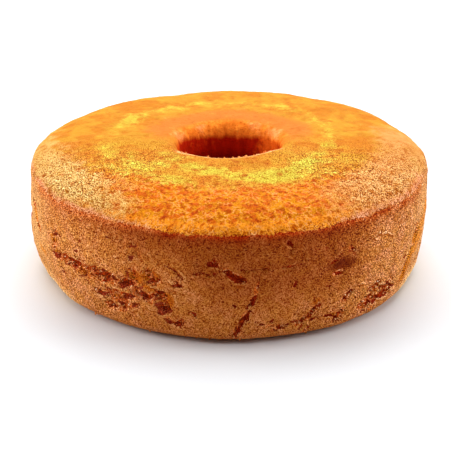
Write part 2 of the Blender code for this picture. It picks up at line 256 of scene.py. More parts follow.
# %% Cracks
CRACKS = (
    (-53.5, 43.7, -51.7, 46, 0.6), (-50, 45, -49.3, 46.2, 0.7), (-50.2, 41, -50, 36, 0.5),
    (-54.5, 33.8, -52.5, 31.2, 0.9), (-51, 27.2, -50, 24, 1), (-50.2, 23, -49.7, 21.2, 0.6),
    (-48.5, 36.2, -44, 35, 0.6), (-44, 35, -35, 34.7, 0.5), (-46.5, 34, -43.8, 32.8, 1.2),
    (-49, 30, -46, 31, 0.6), (-45.2, 30.2, -44, 28.4, 0.9), (-42.6, 27, -40.5, 28.2, 0.6),
    (-40.6, 25.6, -38.8, 26.4, 0.5), (-41.2, 30.8, -40.2, 32.2, 0.6), (-39.5, 34, -37.6, 32.8, 0.6),
    (-36.5, 31.2, -33.2, 32.6, 1.1), (-35, 34.6, -32.3, 34.5, 0.9), (-34.3, 29, -32.4, 30.2, 0.9),
    (-31.6, 34.6, -31, 32.2, 0.6), (-30.5, 33.8, -29.9, 31.4, 0.6), (-30.2, 35, -28.6, 34.6, 0.5),
    (-28, 30, -25.6, 31.4, 1.9), (-26.4, 38.8, -26, 35, 0.9), (-23.3, 30, -22.4, 31.2, 0.9),
    (-23, 27.2, -21.2, 25.4, 2.1), (-21.2, 24.8, -20.6, 24.6, 0.9), (-33, 23.8, -30.8, 25, 0.5),
    (-30.6, 24.6, -27.6, 24.2, 0.7), (-28.2, 23, -25.8, 24, 1.1), (-36.6, 20.4, -33, 20.6, 1),
    (-35.4, 18, -34.2, 17.5, 0.7), (-30, 18.2, -28.4, 17, 0.8), (-25.3, 18.2, -25, 20.2, 0.7),
    (-25, 20.2, -23.8, 20, 0.7), (-23.8, 19.8, -24, 17.8, 0.7), (-24, 17.8, -25.2, 17.6, 0.6),
    (-34.6, 14.8, -34, 12.4, 0.8), (-33.6, 11.8, -32.4, 13, 0.6), (-32.2, 12.4, -30.8, 13.8, 0.8),
    (-25.4, 47.8, -24.9, 48, 1.2), (-26.6, 54, -24.2, 54.4, 0.5), (-24.2, 54.4, -23.6, 55.8, 0.4),
    (-32.7, 55.6, -32.3, 55.4, 0.8), (-42.2, 60.2, -40.8, 60, 0.6), (-42.4, 48.8, -41.8, 49, 0.7),
    (-43.8, 41.4, -43.2, 41.6, 0.8), (-21, 42, -18.4, 42.5, 0.4), (-20.4, 36.4, -17.6, 36.6, 0.7),
    (-17.6, 36.6, -17.2, 39.2, 0.6), (-16.5, 46.6, -14.4, 45.2, 0.4), (-14.4, 45.2, -11.6, 42, 0.5),
    (-11.6, 42, -11.1, 39.2, 0.5), (-14, 36.4, -11.4, 36.4, 0.7), (-12.9, 38.2, -12.2, 36.4, 0.7),
    (-19.1, 28.4, -16.4, 30.6, 0.8), (-19, 26.8, -17.4, 26.6, 0.7), (-18, 23, -17.6, 18.5, 1.3),
    (-18, 17.8, -15.2, 19.4, 1.8), (-16.4, 13.2, -15.4, 12, 0.8), (-15.4, 11.8, -13, 10.1, 1),
    (-13, 10.1, -11.9, 11.7, 0.6), (-12.9, 12.4, -11.5, 14.6, 0.6), (-9.6, 20.2, -8.4, 17.6, 0.8),
    (-9.2, 18.4, -8.5, 19.4, 0.6), (-4.8, 49.4, -2.9, 49.2, 0.7), (-3.3, 51.2, -2.7, 49.2, 0.7),
    (-3.8, 44, -3.3, 43.8, 0.7), (-8.6, 43, -7, 43.8, 0.4), (-7, 43.8, -4.6, 43.4, 0.4),
    (-1.5, 46, 1, 45.2, 0.7), (0, 44.2, 1.6, 41.6, 1.2), (1.2, 42.8, 3.9, 40.8, 1.3),
    (1.4, 40.2, 3.4, 39.8, 0.7), (7.8, 38.4, 7.2, 35, 0.6), (6.7, 30, 6.2, 26.8, 1.1),
    (5.2, 29, 6.3, 28.6, 0.6), (5.8, 26.2, 4.9, 24, 0.6), (5.9, 22, 5.2, 18.6, 0.7),
    (5.3, 18.8, 4.7, 16.6, 1.1), (4.8, 17.2, 3.2, 13.4, 1.2), (3.4, 12.2, 2.7, 10.4, 0.8),
    (1.8, 10.4, 3, 8.4, 0.8), (2.4, 7.6, 1.5, 4.6, 1), (1.5, 25, 2.2, 24.4, 0.7),
    (8.4, 12.2, 9.3, 11.4, 0.9), (6.8, 14.6, 7.5, 14.2, 0.5), (11.1, 14.5, 11.7, 14.8, 0.7),
    (12.2, 8, 13.6, 9.2, 0.8), (13, 9.6, 15.2, 10.8, 0.9), (14, 8.8, 15.9, 11.8, 0.6),
    (3, 46, 10, 46.8, 0.4), (13, 46.2, 18.6, 46.6, 0.4), (22, 54, 27, 54.7, 0.4),
    (14.8, 60, 15.5, 58.8, 1.1), (17.1, 38, 16.8, 35, 0.6), (17.6, 12.4, 19.4, 11.4, 1),
    (19, 12.2, 20.4, 14.4, 0.7), (20.4, 14.4, 21.5, 17.2, 0.6), (19.3, 9.2, 18.9, 6.4, 0.8),
    (21.8, 17, 23.1, 18.2, 1), (22.6, 15.2, 22.9, 17, 0.6), (22.1, 11.8, 23.4, 12.6, 0.6),
    (22.2, 26.2, 22, 23.6, 0.5), (25.8, 13.2, 27.6, 12, 0.8), (27.8, 10.8, 29.4, 11.1, 0.6),
    (30, 12.4, 31.6, 13.6, 0.8), (29, 7.4, 29.9, 9.2, 1), (31.6, 21.3, 33, 22.6, 0.8),
    (33, 22.6, 33.9, 24, 0.6), (32, 20.4, 32.5, 19.4, 0.5), (25.9, 31, 26.4, 31, 0.7),
    (26.8, 44, 28.4, 45.2, 0.9), (27.3, 38.6, 28.4, 38.6, 0.6), (28.3, 38.2, 29.9, 37.4, 1),
    (31.9, 48.9, 33.1, 48.5, 0.5), (33.1, 50.4, 33.7, 49, 0.7), (33.4, 46.8, 34.6, 45.4, 0.4),
    (39.1, 52.6, 39.6, 52.2, 0.6), (39.2, 21.2, 40.2, 20.4, 0.6), (39.9, 22.6, 41.6, 22.1, 0.6),
    (42, 22.4, 43.9, 23.6, 0.9), (44.6, 16.8, 45.4, 19.2, 0.8), (46.4, 19.4, 48.7, 19, 1),
    (39, 15.6, 40.1, 14.6, 0.8), (41, 17, 42.6, 13.8, 0.7), (40.4, 12.2, 41.5, 10.8, 0.8),
    (43, 9.4, 44.4, 10.4, 1), (45, 11.4, 49.2, 12.2, 1), (38.4, 7.4, 39.3, 8.2, 0.7),
    (41.8, 11, 42.6, 12.6, 0.7), (50.6, 15.2, 53.2, 12.4, 0.7), (52, 13.8, 55.2, 15.2, 0.8),
    (56.2, 28.2, 57.8, 26.8, 0.9), (61.6, 42.8, 62.6, 43.4, 0.9), (47, 17, 48.4, 15, 0.7),
)

# %% Flakes
FLAKES = (
    (40.4, 53.6, 42.5, 54.2, 0.8), (42.5, 54.2, 44.6, 52.7, 0.7), (44.6, 52.7, 48.8, 48.8, 0.6),
    (41, 52.2, 42, 50.8, 0.5), (51, 49, 54, 51, 0.5), (-27, 49.8, -26.4, 52, 0.7),
    (-27.2, 56, -25, 56.8, 0.5), (-23.2, 51, -23, 48, 0.5), (-14.9, 38.8, -14, 37.4, 0.6),
    (-10.9, 42, -10.6, 39, 0.6), (-12.2, 44.6, -10.9, 42.8, 0.5), (-5.2, 48.8, -4.6, 50.4, 0.5),
    (-2.4, 47.8, -0.8, 46.8, 0.7), (-26.2, 21.2, -23.6, 22.4, 0.8), (-24.7, 19.2, -24.4, 19, 0.6),
    (-29.4, 15.8, -27.2, 16.4, 0.7), (-27.4, 15, -24.6, 15.8, 0.5), (-32, 26.2, -30, 26.8, 0.6),
    (-23.8, 13.4, -23.2, 9.2, 0.7), (-19.6, 33.6, -16.4, 33, 0.6), (-13.4, 31, -13.2, 24, 0.6),
    (-16.6, 15, -15.2, 14.6, 0.6), (-21.4, 21.2, -19.6, 19.2, 0.6), (-34.8, 33, -34, 31.2, 0.6),
    (-45.2, 36.6, -43.6, 36, 0.5), (2.2, 18.6, 3.2, 17.2, 0.5), (7.4, 12.8, 8.2, 13.4, 0.5),
    (40.8, 20.4, 42.2, 19.6, 0.9), (43.2, 16, 43.8, 12.4, 0.8), (45.6, 15.2, 47.6, 13.8, 0.7),
    (49.6, 18.6, 52, 16.2, 0.7), (41.2, 9.6, 42.2, 9, 0.6), (34.6, 22.2, 35.4, 19.6, 0.5),
    (36, 28, 38.4, 26.2, 0.5), (22.6, 20, 24.2, 19, 0.6), (20.9, 10.8, 21.2, 7.6, 0.6),
    (24.2, 14, 25, 11.8, 0.6), (30.6, 10.6, 31.4, 9.6, 0.6), (-52.8, 45.2, -51.4, 44, 0.5),
    (39.6, 18.6, 40.6, 16.8, 0.6), (44.4, 21.2, 45.8, 20.6, 0.7), (42.8, 19.6, 43.6, 18.2, 0.6),
    (46.2, 17.2, 46.8, 16, 0.6), (39.4, 13, 40.2, 11.6, 0.6), (47.8, 21.2, 49.4, 20.6, 0.5),
    (44.6, 12, 45.4, 10.4, 0.6), (41.8, 24, 43, 24.6, 0.5), (50.2, 12.8, 51.4, 11.4, 0.6),
    (-33.8, 56, -30.4, 57.6, 0.4), (-21.6, 50, -20.4, 53.4, 0.4), (-30.2, 45.2, -28.6, 47, 0.4),
    (13.2, 53, 15.6, 51.2, 0.4), (18.4, 50, 21.6, 49.4, 0.4), (8.8, 55.4, 11.2, 54.8, 0.4),
    (35.6, 40, 36.4, 43, 0.4), (-8.8, 47, -6.8, 47.8, 0.4), (27, 49.2, 29.6, 50, 0.4),
)

# %% [markdown]
# ## Swellings, hollows and steam pits
# The wall and the dome are not quite true: each has a few broad swellings and hollows, and steam left small round
# pits against the tin. A swelling of the wall is angle, height, spread and amount, and one of the dome is angle,
# distance from the middle, spread and amount, with all lengths in millimetres.

# %% Tables of the broad forms
WALL_SWELLS = (
    (-76, 23, 15, 2.3), (-62, 8, 13, -1.4), (66, 15, 13, -1.4), (30, 5, 15, 1.4), (31, 42, 4.2, -1),
)
DOME_SWELLS = (
    (-30, 37, 15, 1.6), (6, 38, 15, 2), (38, 37, 15, 1.8), (86, 35, 13, 1.1),
)
PITS = 110
PIT_LEVELS, PIT_RADII, PIT_DEPTH = (0.010, 0.060), (0.0010, 0.0022), 0.6
print("swellings of the wall:", len(WALL_SWELLS), "of the dome:", len(DOME_SWELLS), "pits:", PITS)

# %% All strokes in degrees and metres
SEED = 24
MM = 0.001
BACK_TEARS = 30
BACK_ANGLES = (78, 282)
BACK_TEAR_FOOT, BACK_TEAR_RISE, BACK_TEAR_LOWEST = 0.008, 0.034, 0.005
BACK_TEAR_TURN, BACK_TEAR_CLIMB, BACK_TEAR_HALF_WIDTH = (1, 9), (-0.007, 0.007), (0.0014, 0.0038)
LOW_CROWDING = 1.6


def in_metres(rows, *lengths):
    """The rows of a table as an array, with the millimetres of these columns turned into metres."""
    table = np.array(rows, dtype=float)
    table[:, lengths] *= MM
    return table


def stroke_rows(rows):
    """Strokes as angle, height, angle, height and half width, in degrees and metres."""
    return in_metres(rows, 1, 3, 4)


def back_tears():
    """Tears for the side turned away from the front, scattered low on the wall as they are in front."""
    draw = np.random.default_rng(SEED)
    tears = []
    for _ in range(BACK_TEARS):
        angle = draw.uniform(*BACK_ANGLES)
        height = BACK_TEAR_FOOT + BACK_TEAR_RISE * draw.random() ** LOW_CROWDING
        last_angle = angle + draw.uniform(*BACK_TEAR_TURN)
        last_height = max(height + draw.uniform(*BACK_TEAR_CLIMB), BACK_TEAR_LOWEST)
        tears.append((angle, height, last_angle, last_height, draw.uniform(*BACK_TEAR_HALF_WIDTH)))
    return tears


strokes = np.vstack([stroke_rows(WIDE_TEARS), stroke_rows(FINE_TEARS), back_tears()])
cracks, flakes = stroke_rows(CRACKS), stroke_rows(FLAKES)
print("tears:", len(strokes), "cracks:", len(cracks), "flakes:", len(flakes))

# %% Fields made of strokes and bells
RAGGEDNESS = 0.7


def along_wall(angle, centre):
    """How far round the wall an angle lies from the centre angle, in metres; both in radians."""
    return ((angle - centre + math.pi) % (2 * math.pi) - math.pi) * RIM_RADIUS


def stroke_reach(strokes, angle, height, ragged=0.0):
    """How far inside each stroke each point of the unrolled wall lies, in metres: a row for each stroke.

    It is the half width, made uneven by the ragged noise, less the distance to the stroke's straight line."""
    reach = []
    for first_angle, first_height, last_angle, last_height, half_width in strokes:
        run = np.array([math.radians(last_angle - first_angle) * RIM_RADIUS, last_height - first_height])
        offset = np.stack([along_wall(angle, math.radians(first_angle)), height - first_height], axis=1)
        share = np.clip(offset @ run / (run @ run), 0, 1)
        distance = np.linalg.norm(offset - share[:, None] * run, axis=1)
        reach.append(half_width * (1 + RAGGEDNESS * ragged) - distance)
    return np.array(reach)


def bell_sum(rows, offsets):
    """The sum of bells amount * exp(-d d / s s), one for each row of angle, level, spread and amount."""
    total = 0
    for centre, level, spread, amount in rows:
        across, along = offsets(math.radians(centre), level)
        total = total + amount * np.exp(-(across**2 + along**2) / spread**2)
    return total


def steam_pits():
    """Rows for the round pits that steam left at the wall, each as deep as six tenths of its radius."""
    draw = np.random.default_rng(SEED + 1)
    pits = []
    for _ in range(PITS):
        centre, level, radius = draw.uniform(0, 360), draw.uniform(*PIT_LEVELS), draw.uniform(*PIT_RADII)
        pits.append((centre, level, radius, PIT_DEPTH * radius))
    return pits


# %% [markdown]
# ## The relief
# Each point of the smooth ring moves along its outward direction. On the dome the relief is soft: slow swells, lumps
# and a lumpier ring where the top stretched last. The wall has a bead where the batter met the tin's edge. Inside the
# tears the surface sinks and breaks into crumbs, which come from the crumb cells. Cracks cut in a little and push up
# a lip, and flakes stand out. The sole stays flat.

# %% Points of the smooth ring
WALL_START, EDGE_BLEND = 0.9 * RIM_RADIUS, 0.006
SOLE_RIM, SOLE_FADE = 0.0008, 0.0036
# The dome's skin ends on a wavy line a little above the rim. Each wave is a height, a cell and a seed.
EDGE_LIFT, EDGE_WAVES = 0.0011, ((0.0009, 0.0100, 19), (0.0006, 0.0042, 20))


def ring_points():
    """The smooth ring's points and outward directions: the section carried round the angles."""
    round_sin, round_cos = np.sin(angles)[:, None], -np.cos(angles)[:, None]
    normals = section_normals(section)
    flat = np.ones(len(angles))[:, None]
    points = np.stack([round_sin * section[:, 0], round_cos * section[:, 0], flat * section[:, 1]], axis=-1)
    outward = np.stack([round_sin * normals[:, 0], round_cos * normals[:, 0], flat * normals[:, 1]], axis=-1)
    return points.reshape(-1, 3), outward.reshape(-1, 3)


def uneven(cell, seed):
    """Lattice noise with cells of this size at the points of the smooth ring."""
    return lattice_noise(smooth_points, cell, SEED + seed)


smooth_points, outward = ring_points()
away = smooth_points[:, 1]
height = smooth_points[:, 2]
radius = np.hypot(smooth_points[:, 0], away)
angle = np.arctan2(smooth_points[:, 0], -away)
degrees = np.degrees(angle)
from_front = np.abs(degrees)

on_top = rise(height, RIM_HEIGHT, EDGE_BLEND)
on_wall = rise(radius, WALL_START, EDGE_BLEND)
above_sole = rise(height, SOLE_RIM, SOLE_FADE)
edge_height = RIM_HEIGHT + EDGE_LIFT + sum(wave * uneven(cell, seed) for wave, cell, seed in EDGE_WAVES)
print("points:", len(smooth_points), "dome:", int((on_top > 0.5).sum()), "wall:", int((on_wall > 0.5).sum()))


def from_wall_place(centre, level):
    """The two distances on the unrolled wall from a place at this angle and height."""
    return along_wall(angle, centre), height - level


def from_dome_place(centre, reach):
    """The two distances seen from above from a place at this angle and this far from the middle."""
    return smooth_points[:, 0] - reach * math.sin(centre), away + reach * math.cos(centre)


# %% Soft relief of the dome and the rim
SWELL_CELL, SWELL_HEIGHT = 0.034, 0.0010
LUMP_CELL, LUMP_HEIGHT = 0.0095, 0.0004
GRAIN_CELL, GRAIN_HEIGHT = 0.0024, 0.00022
CROWN_RING_RADIUS, CROWN_RING_WIDTH = 0.0660, 0.0110
CROWN_LUMP_CELL, CROWN_LUMP_HEIGHT, CROWN_LIFT = 0.0080, 0.0010, 0.4
BLISTER_CELL, BLISTER_HEIGHT, BLISTER_MIDDLE = 0.0036, 0.0008, 0.45
BEAD_HEIGHT, BEAD_WIDTH, BEAD_DROP = 0.0007, 0.0022, 0.0020
BEAD_WAVE, BEAD_WAVE_CELL = 0.0012, 0.022

ring_share = bell(radius, CROWN_RING_RADIUS, CROWN_RING_WIDTH) * on_top
blister_share = rise(radius, 0.072, 0.014) * fall(away, 0.030, 0.070) * rise(height, RIM_HEIGHT, 0.002)
blisters, _ = crumb_cells(smooth_points, BLISTER_CELL, SEED + 17)
wavy_rim = RIM_HEIGHT - BEAD_DROP + BEAD_WAVE * uneven(BEAD_WAVE_CELL, 4)
bead_share = bell(height, wavy_rim, BEAD_WIDTH)

soft = SWELL_HEIGHT * uneven(SWELL_CELL, 0) + LUMP_HEIGHT * uneven(LUMP_CELL, 2)
soft += CROWN_LUMP_HEIGHT * ring_share * (CROWN_LIFT + uneven(CROWN_LUMP_CELL, 3))
soft += on_top * bell_sum(in_metres(DOME_SWELLS, 1, 2, 3), from_dome_place)
soft += BLISTER_HEIGHT * blister_share * (BLISTER_MIDDLE - blisters)
grain = GRAIN_HEIGHT * uneven(GRAIN_CELL, 8)
print("soft relief in mm from", round(soft.min() * 1000, 2), "to", round(soft.max() * 1000, 2))

# %% Relief of the tears, cracks and flakes
TEAR_DEPTH, TEAR_EDGE, WIDE_TEAR, TEAR_RAGGED_CELL = 0.0021, 0.0008, 0.0030, 0.0042
CRUMB_SIZE, CRUMB_HEIGHT = 0.0030, 0.0016
SMALL_CRUMB_SIZE, SMALL_CRUMB_HEIGHT = 0.0016, 0.0005
CREASE_WIDTH, CRUMB_MIDDLE, CRUMB_ROUNDNESS = 0.35, 0.75, 0.6
CRACK_LIP, THIN_CRACK = 0.0011, 0.00055
CRACK_WAVE, CRACK_WAVE_CELL = 0.0011, 0.0032
CRACK_DEPTH, LIP_HEIGHT, FLAKE_HEIGHT = 0.0008, 0.0003, 0.0004
STROKE_BLUR = 0.003
# Values of the edge ramp: where a crack opens and a flake stands out, each with its width, and where the lip lies.
CRACK_OPENS, FLAKE_STANDS = (0.40, 0.22), (0.38, 0.24)
LIP_MIDDLE, LIP_SPAN = 0.34, 0.14


def edge_ramp(inside):
    """A ramp across the edge of a stroke: a half at the edge itself, and a third more for each mm inside it."""
    return np.clip(0.5 + inside / STROKE_BLUR, 0, 1) * on_wall


def stroke_mask(strokes, lift=0.0):
    """The edge ramp of the nearest stroke, its line wavering a little; the lift moves the strokes down."""
    return edge_ramp(stroke_reach(strokes, wavy_angle, wavy_height + lift).max(axis=0))


tear_reach = stroke_reach(strokes, angle, height, uneven(TEAR_RAGGED_CELL, 5))
inside_tear = tear_reach.max(axis=0)
full_depth_share = np.minimum(1, strokes[:, 4] / WIDE_TEAR)
torn = (smooth_step(tear_reach / TEAR_EDGE) * full_depth_share[:, None]).max(axis=0) * on_wall
nearest, second = crumb_cells(smooth_points, CRUMB_SIZE, SEED + 7)
small_nearest, _ = crumb_cells(smooth_points, SMALL_CRUMB_SIZE, SEED + 11)
crease = smooth_step((second - nearest) / CREASE_WIDTH)
crumb = CRUMB_HEIGHT * (crease - CRUMB_MIDDLE - CRUMB_ROUNDNESS * nearest**2)
small_crumb = SMALL_CRUMB_HEIGHT * (1 - 2 * small_nearest)

wavy_angle = angle + CRACK_WAVE / RIM_RADIUS * uneven(CRACK_WAVE_CELL, 21)
wavy_height = height + CRACK_WAVE * uneven(CRACK_WAVE_CELL, 22)
crack, flake = stroke_mask(cracks), stroke_mask(flakes)
crack_lip = stroke_mask(cracks[cracks[:, 4] > THIN_CRACK], CRACK_LIP)
flake_shadow = stroke_mask(flakes, CRACK_LIP)

wall_relief = BEAD_HEIGHT * bead_share + bell_sum(in_metres(WALL_SWELLS, 1, 2, 3), from_wall_place)
wall_relief -= bell_sum(steam_pits(), from_wall_place)
wall_relief += torn * (crumb + small_crumb - TEAR_DEPTH)
wall_relief -= CRACK_DEPTH * rise(crack, *CRACK_OPENS)
wall_relief += LIP_HEIGHT * fall(np.abs(crack - LIP_MIDDLE), LIP_SPAN, LIP_SPAN) * (1 - torn)
wall_relief += FLAKE_HEIGHT * rise(flake, *FLAKE_STANDS)
relief = above_sole * (soft + grain + on_wall * wall_relief)
cake_points = smooth_points + outward * relief[:, None]
print("relief in mm from", round(relief.min() * 1000, 2), "to", round(relief.max() * 1000, 2))

# %% [markdown]
# ## One closed skin
# The grid closes on itself both ways, like a ring doughnut, so there is no seam and no pole. A last step keeps the
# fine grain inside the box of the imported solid, which is the cake's true size.

# %% Build the mesh
BOX_MARGIN = 0.0001


def grid_faces(turns, steps):
    """Quads between neighbours of a grid that closes on itself in both directions, wound to face outwards."""
    turn, step = np.meshgrid(np.arange(turns), np.arange(steps), indexing="ij")
    next_turn, next_step = (turn + 1) % turns, (step + 1) % steps
    corners = ((turn, step), (turn, next_step), (next_turn, next_step), (next_turn, step))
    return np.stack([at * steps + along for at, along in corners], axis=-1).reshape(-1, 4)


def mesh_object(name, points, faces):
    """A smooth-shaded mesh object at the origin with these points and faces of equal size."""
    mesh = bpy.data.meshes.new(name)
    mesh.vertices.add(len(points))
    mesh.vertices.foreach_set("co", points.astype(np.float32).ravel())
    mesh.loops.add(faces.size)
    mesh.loops.foreach_set("vertex_index", faces.astype(np.int32).ravel())
    mesh.polygons.add(len(faces))
    mesh.polygons.foreach_set("loop_start", np.arange(0, faces.size, faces.shape[1], dtype=np.int32))
    mesh.update(calc_edges=True)
    mesh.validate()
    mesh.shade_smooth()
    made = bpy.data.objects.new(name, mesh)
    bpy.context.scene.collection.objects.link(made)
    return made


def inside_box(points):
    """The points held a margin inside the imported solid's box, and no lower than its sole."""
    return np.clip(points, cake_low + [BOX_MARGIN, BOX_MARGIN, 0], cake_high - BOX_MARGIN)


def signed_volume(points, quads):
    """The volume inside closed quads: a sixth of the sum of corner products, positive if they face outwards."""
    a, b, c, d = (points[quads[:, corner]] for corner in range(4))
    return (np.einsum("ij,ij->i", a, np.cross(b, c)) + np.einsum("ij,ij->i", a, np.cross(c, d))).sum() / 6


middle = (cake_points[:, :2].min(axis=0) + cake_points[:, :2].max(axis=0)) / 2
cake_points[:, :2] += (cake_low + cake_high)[:2] / 2 - middle
cake_points = inside_box(cake_points)
quads = grid_faces(len(angles), len(section))
cake_body = mesh_object("cake_body", cake_points, quads)
print("litres inside:", round(signed_volume(cake_points, quads) * 1000, 3), "triangles:", 2 * len(quads))

# %% [markdown]
# ## Masks for the bake and for painted light and shade
# An oven colours a cake by place. The ring of the dome that stretched last stays lemon yellow, the front of the dome
# is freckled with red, the front left is pale meal, and the wall is browner in front and under the rim. Some masks
# paint light and shade as well. The browner front wall is partly painted shade and the sides are lighter partly as
# painted light. The hole, the creases, the pits and the deep crumbs are darker as painted shade, and pale highlights
# are painted on the hole's lip and the dome's curls. Each of these is a soft mask, worked out at every point of the
# mesh and kept as an attribute. The material roughens the masks with noise, so that their edges are as ragged as
# real ones.
#
# A patch is angle, middle, half angle, half width, strength. The middle is a distance from the axis on the dome and
# a height on the wall, and lengths are in millimetres. In a rise or a fall the two numbers say where the change
# starts or ends and how wide it is, in degrees if it runs round the ring and in metres if not.

# %% Helpers for masks
def turned_from(centre):
    """Degrees from the centre angle, from -180 to 180."""
    return (degrees - centre + 180) % 360 - 180


def patches(rows, across):
    """The strongest of several bells laid down by angle and by the other measure across them."""
    field = np.zeros(len(across))
    for centre, middle, half_angle, half_width, strength in in_metres(rows, 1, 3):
        patch = strength * bell(turned_from(centre), 0, half_angle) * bell(across, middle, half_width)
        field = np.maximum(field, patch)
    return field


def set_mask(piece, name, values):
    """Keeps one number for each vertex as a named attribute."""
    layer = piece.data.attributes.new(name, "FLOAT", "POINT")
    layer.data.foreach_set("value", values.astype(np.float32))


# %% Patches of the dome, the lip and the wall
LEMON_PATCHES = (
    (20, 69.2, 17, 10, 1.15), (42, 64, 14, 7.6, 0.95), (58, 59, 12, 5.5, 0.6), (2, 64.5, 10, 5.5, 0.7),
    (-24, 80, 13, 7.5, 0.75), (-42, 83, 14, 8, 0.75), (40, 83, 12, 8, 0.5), (-9, 59, 11, 9, 0.85),
    (4, 69, 12, 5.5, 0.7), (-22, 56, 14, 9, 0.8), (-38, 60, 12, 10, 0.55), (-43, 47.5, 13, 7.5, 0.75),
    (-46, 71, 14, 8, 0.7), (-72, 74, 13, 7, 0.5), (-60, 64, 12, 6, 0.4), (-93, 72, 12, 7, 0.35),
    (-118, 69.5, 15, 7, 0.75), (-145, 70, 15, 7.5, 0.6), (-166, 72, 12, 6, 0.55), (175, 69, 14, 6.5, 0.35),
    (150, 69, 15, 7.5, 0.5), (120, 65, 16, 6.5, 0.5), (98, 62, 13, 6, 0.55), (76, 60, 15, 6, 0.65),
    (60, 70, 14, 7, 0.35),
)
LIP_PATCHES = (
    (150, 34.5, 11, 3.6, 0.9), (126, 34.5, 14, 3.8, 1), (-112, 34, 14, 3.8, 0.9), (-148, 33.5, 9, 2.6, 0.7),
)
AMBER_PATCHES = (
    (-24.2, 37, 2.8, 4, 1), (-19.6, 39.2, 2.4, 3.6, 1), (-15.8, 26.2, 2.4, 5.6, 1), (-20, 33, 4, 2.8, 0.55),
    (-40, 30, 7, 3.5, 0.45), (-31, 21.5, 3, 2.6, 0.65), (-53, 42.5, 2.4, 3, 0.7), (-52.5, 35, 2, 4, 0.6),
    (57.6, 14.5, 3, 3.4, 0.9), (61.4, 19.5, 3.8, 4.6, 1), (64.4, 26, 4.2, 5, 1), (67.6, 32.5, 4.6, 5, 1),
    (71, 39, 5, 5, 1), (75.5, 45, 5.4, 5.6, 0.9), (-63, 27, 5, 4, 0.5), (-68, 45, 4, 4, 0.5),
    (41.5, 16, 2.6, 4, 0.5), (23, 23.5, 2.4, 4, 0.5), (27.5, 12, 3, 2.4, 0.55), (2.6, 37.5, 1.4, 2, 0.55),
)

# %% Colours of the dome
lemon = patches(LEMON_PATCHES, radius) * on_top
top_skin = rise(height, RIM_HEIGHT - 0.0005, 0.0025)
front_dome = fall(from_front, 64, 34)
freckled = top_skin * front_dome * rise(radius, 0.074, 0.012)
reddened = top_skin * front_dome * rise(radius, 0.074, 0.022)
shoulder = top_skin * front_dome * rise(radius, 0.1115, 0.0045)
back_dome = rise(away, -0.010, 0.030)
near_hole = on_top * fall(radius, 0.055 + 0.009 * back_dome, 0.018) * (0.35 + 0.65 * back_dome)
outer_ring = top_skin * rise(radius, 0.100, 0.012) * (1 - front_dome)
pale_start = 0.084 + 0.00028 * np.abs(turned_from(-60))
pale = top_skin * rise(degrees, -110, 28) * fall(degrees, -14, 30) * rise(radius, pale_start, 0.020)
pale = np.maximum(pale, 0.4 * outer_ring)
pinkish = 0.9 * top_skin * fall(np.abs(turned_from(68)), 54, 30) * rise(radius, 0.076, 0.022)
tanned = rise(degrees, -112, 44) * fall(degrees, -20, 16) * rise(radius, 0.078, 0.020)
pinkish = np.maximum(pinkish, 0.55 * top_skin * tanned)
flushed_left = rise(degrees, -92, 20) * fall(degrees, -14, 14)
flushed_right = rise(degrees, 18, 18) * fall(degrees, 85, 20)
flush_reach = 0.0030 + 0.0014 * rise(degrees, 34, 16)
flushed = top_skin * np.maximum(np.maximum(flushed_left, flushed_right), 0.32 * front_dome)
flushed *= np.exp(-np.maximum(height - edge_height, 0) / flush_reach)
print("share of the dome that is lemon:", round(float((lemon[on_top > 0.5] > 0.5).mean()), 3))

# %% Grain of the dome
near_front = fall(away, 0.010, 0.075)
side_front = near_front * rise(from_front, 22, 30)
hole_lip = fall(radius, 0.0395, 0.005) * back_dome
dome_grain = 0.06 + 0.42 * near_front - 0.02 * side_front + 0.16 * hole_lip
dome_specks = near_front * (0.24 + 0.40 * fall(radius, 0.090, 0.015)) + 1.75 * side_front
dimpled = top_skin * near_front * (0.35 + 0.65 * rise(radius, 0.070, 0.015))
print("dome grain up to", round(float(dome_grain.max()), 2), "and specks up to", round(float(dome_specks.max()), 2))

# %% Bake of the wall, with painted shade and painted light
amber = patches(AMBER_PATCHES, height) * on_wall
below_rim = on_wall * (1 - rise(height, 0.0625, 0.0030))
front_wall = rise(degrees, -48, 36) * fall(degrees, 47, 22)
back_wall = rise(from_front, 84, 30)
# Painted light: the sides are paler partly for the light that falls on them, and low near the foot for light thrown
# up from the floor.
foot_bounce_light = rise(np.abs(turned_from(4)), 46, 13) * fall(height, 0.0130, 0.0070) * (1 - back_wall)
pale_and_lit_side = rise(from_front, 50, 18) * (1 - back_wall) * np.where(degrees > 0, 0.6, 1.0)
pale_and_lit_side = np.maximum(pale_and_lit_side, foot_bounce_light)
browning_start = 0.017 + 0.023 * fall(degrees, -2, 12)
scorch = np.exp(-(((turned_from(30.4) / 3.9) ** 2 + ((height - 0.0425) / 0.0034) ** 2) ** 2))
scorch_core = bell(degrees, 28.0, 1.6) * bell(height, 0.0440, 0.0018)

# Painted shade: the front wall browns more partly as painted shade, and the back is darker to offset the strong back
# light.
bake_and_shade_depth = 0.09 - 0.05 * pale_and_lit_side - 0.27 * foot_bounce_light + 0.32 * back_wall
bake_and_shade_depth += 0.19 * pale_and_lit_side * bell(height, 0.0150, 0.0040) + 0.07 * bell(turned_from(52), 0, 13)
bake_and_shade_depth += front_wall * (0.12 + 0.41 * rise(height, browning_start, 0.024))
bake_and_shade_depth += 0.85 * scorch + 0.55 * scorch_core
bake_and_shade_depth *= below_rim
print("deepest bake on the wall:", round(float(bake_and_shade_depth.max()), 2))

# %% Rim and hole
rim_front = rise(degrees, -34, 28) * fall(degrees, 40, 26)
dome_side = np.clip(0.5 + (height - edge_height) / 0.010, 0, 1)
rim_reach = 0.0040 + 0.0022 * fall(degrees, -12, 20) + 0.0016 * rise(degrees, 20, 16)
rim = on_wall * np.exp(-np.maximum(edge_height - height, 0) / rim_reach)
rim *= (0.70 + 0.30 * rim_front) * (1 - 0.6 * rise(from_front, 58, 18))
rim_scorch = rim * (dome_side < 0.5) * rise(degrees, 22, 12) * fall(degrees, 74, 12)

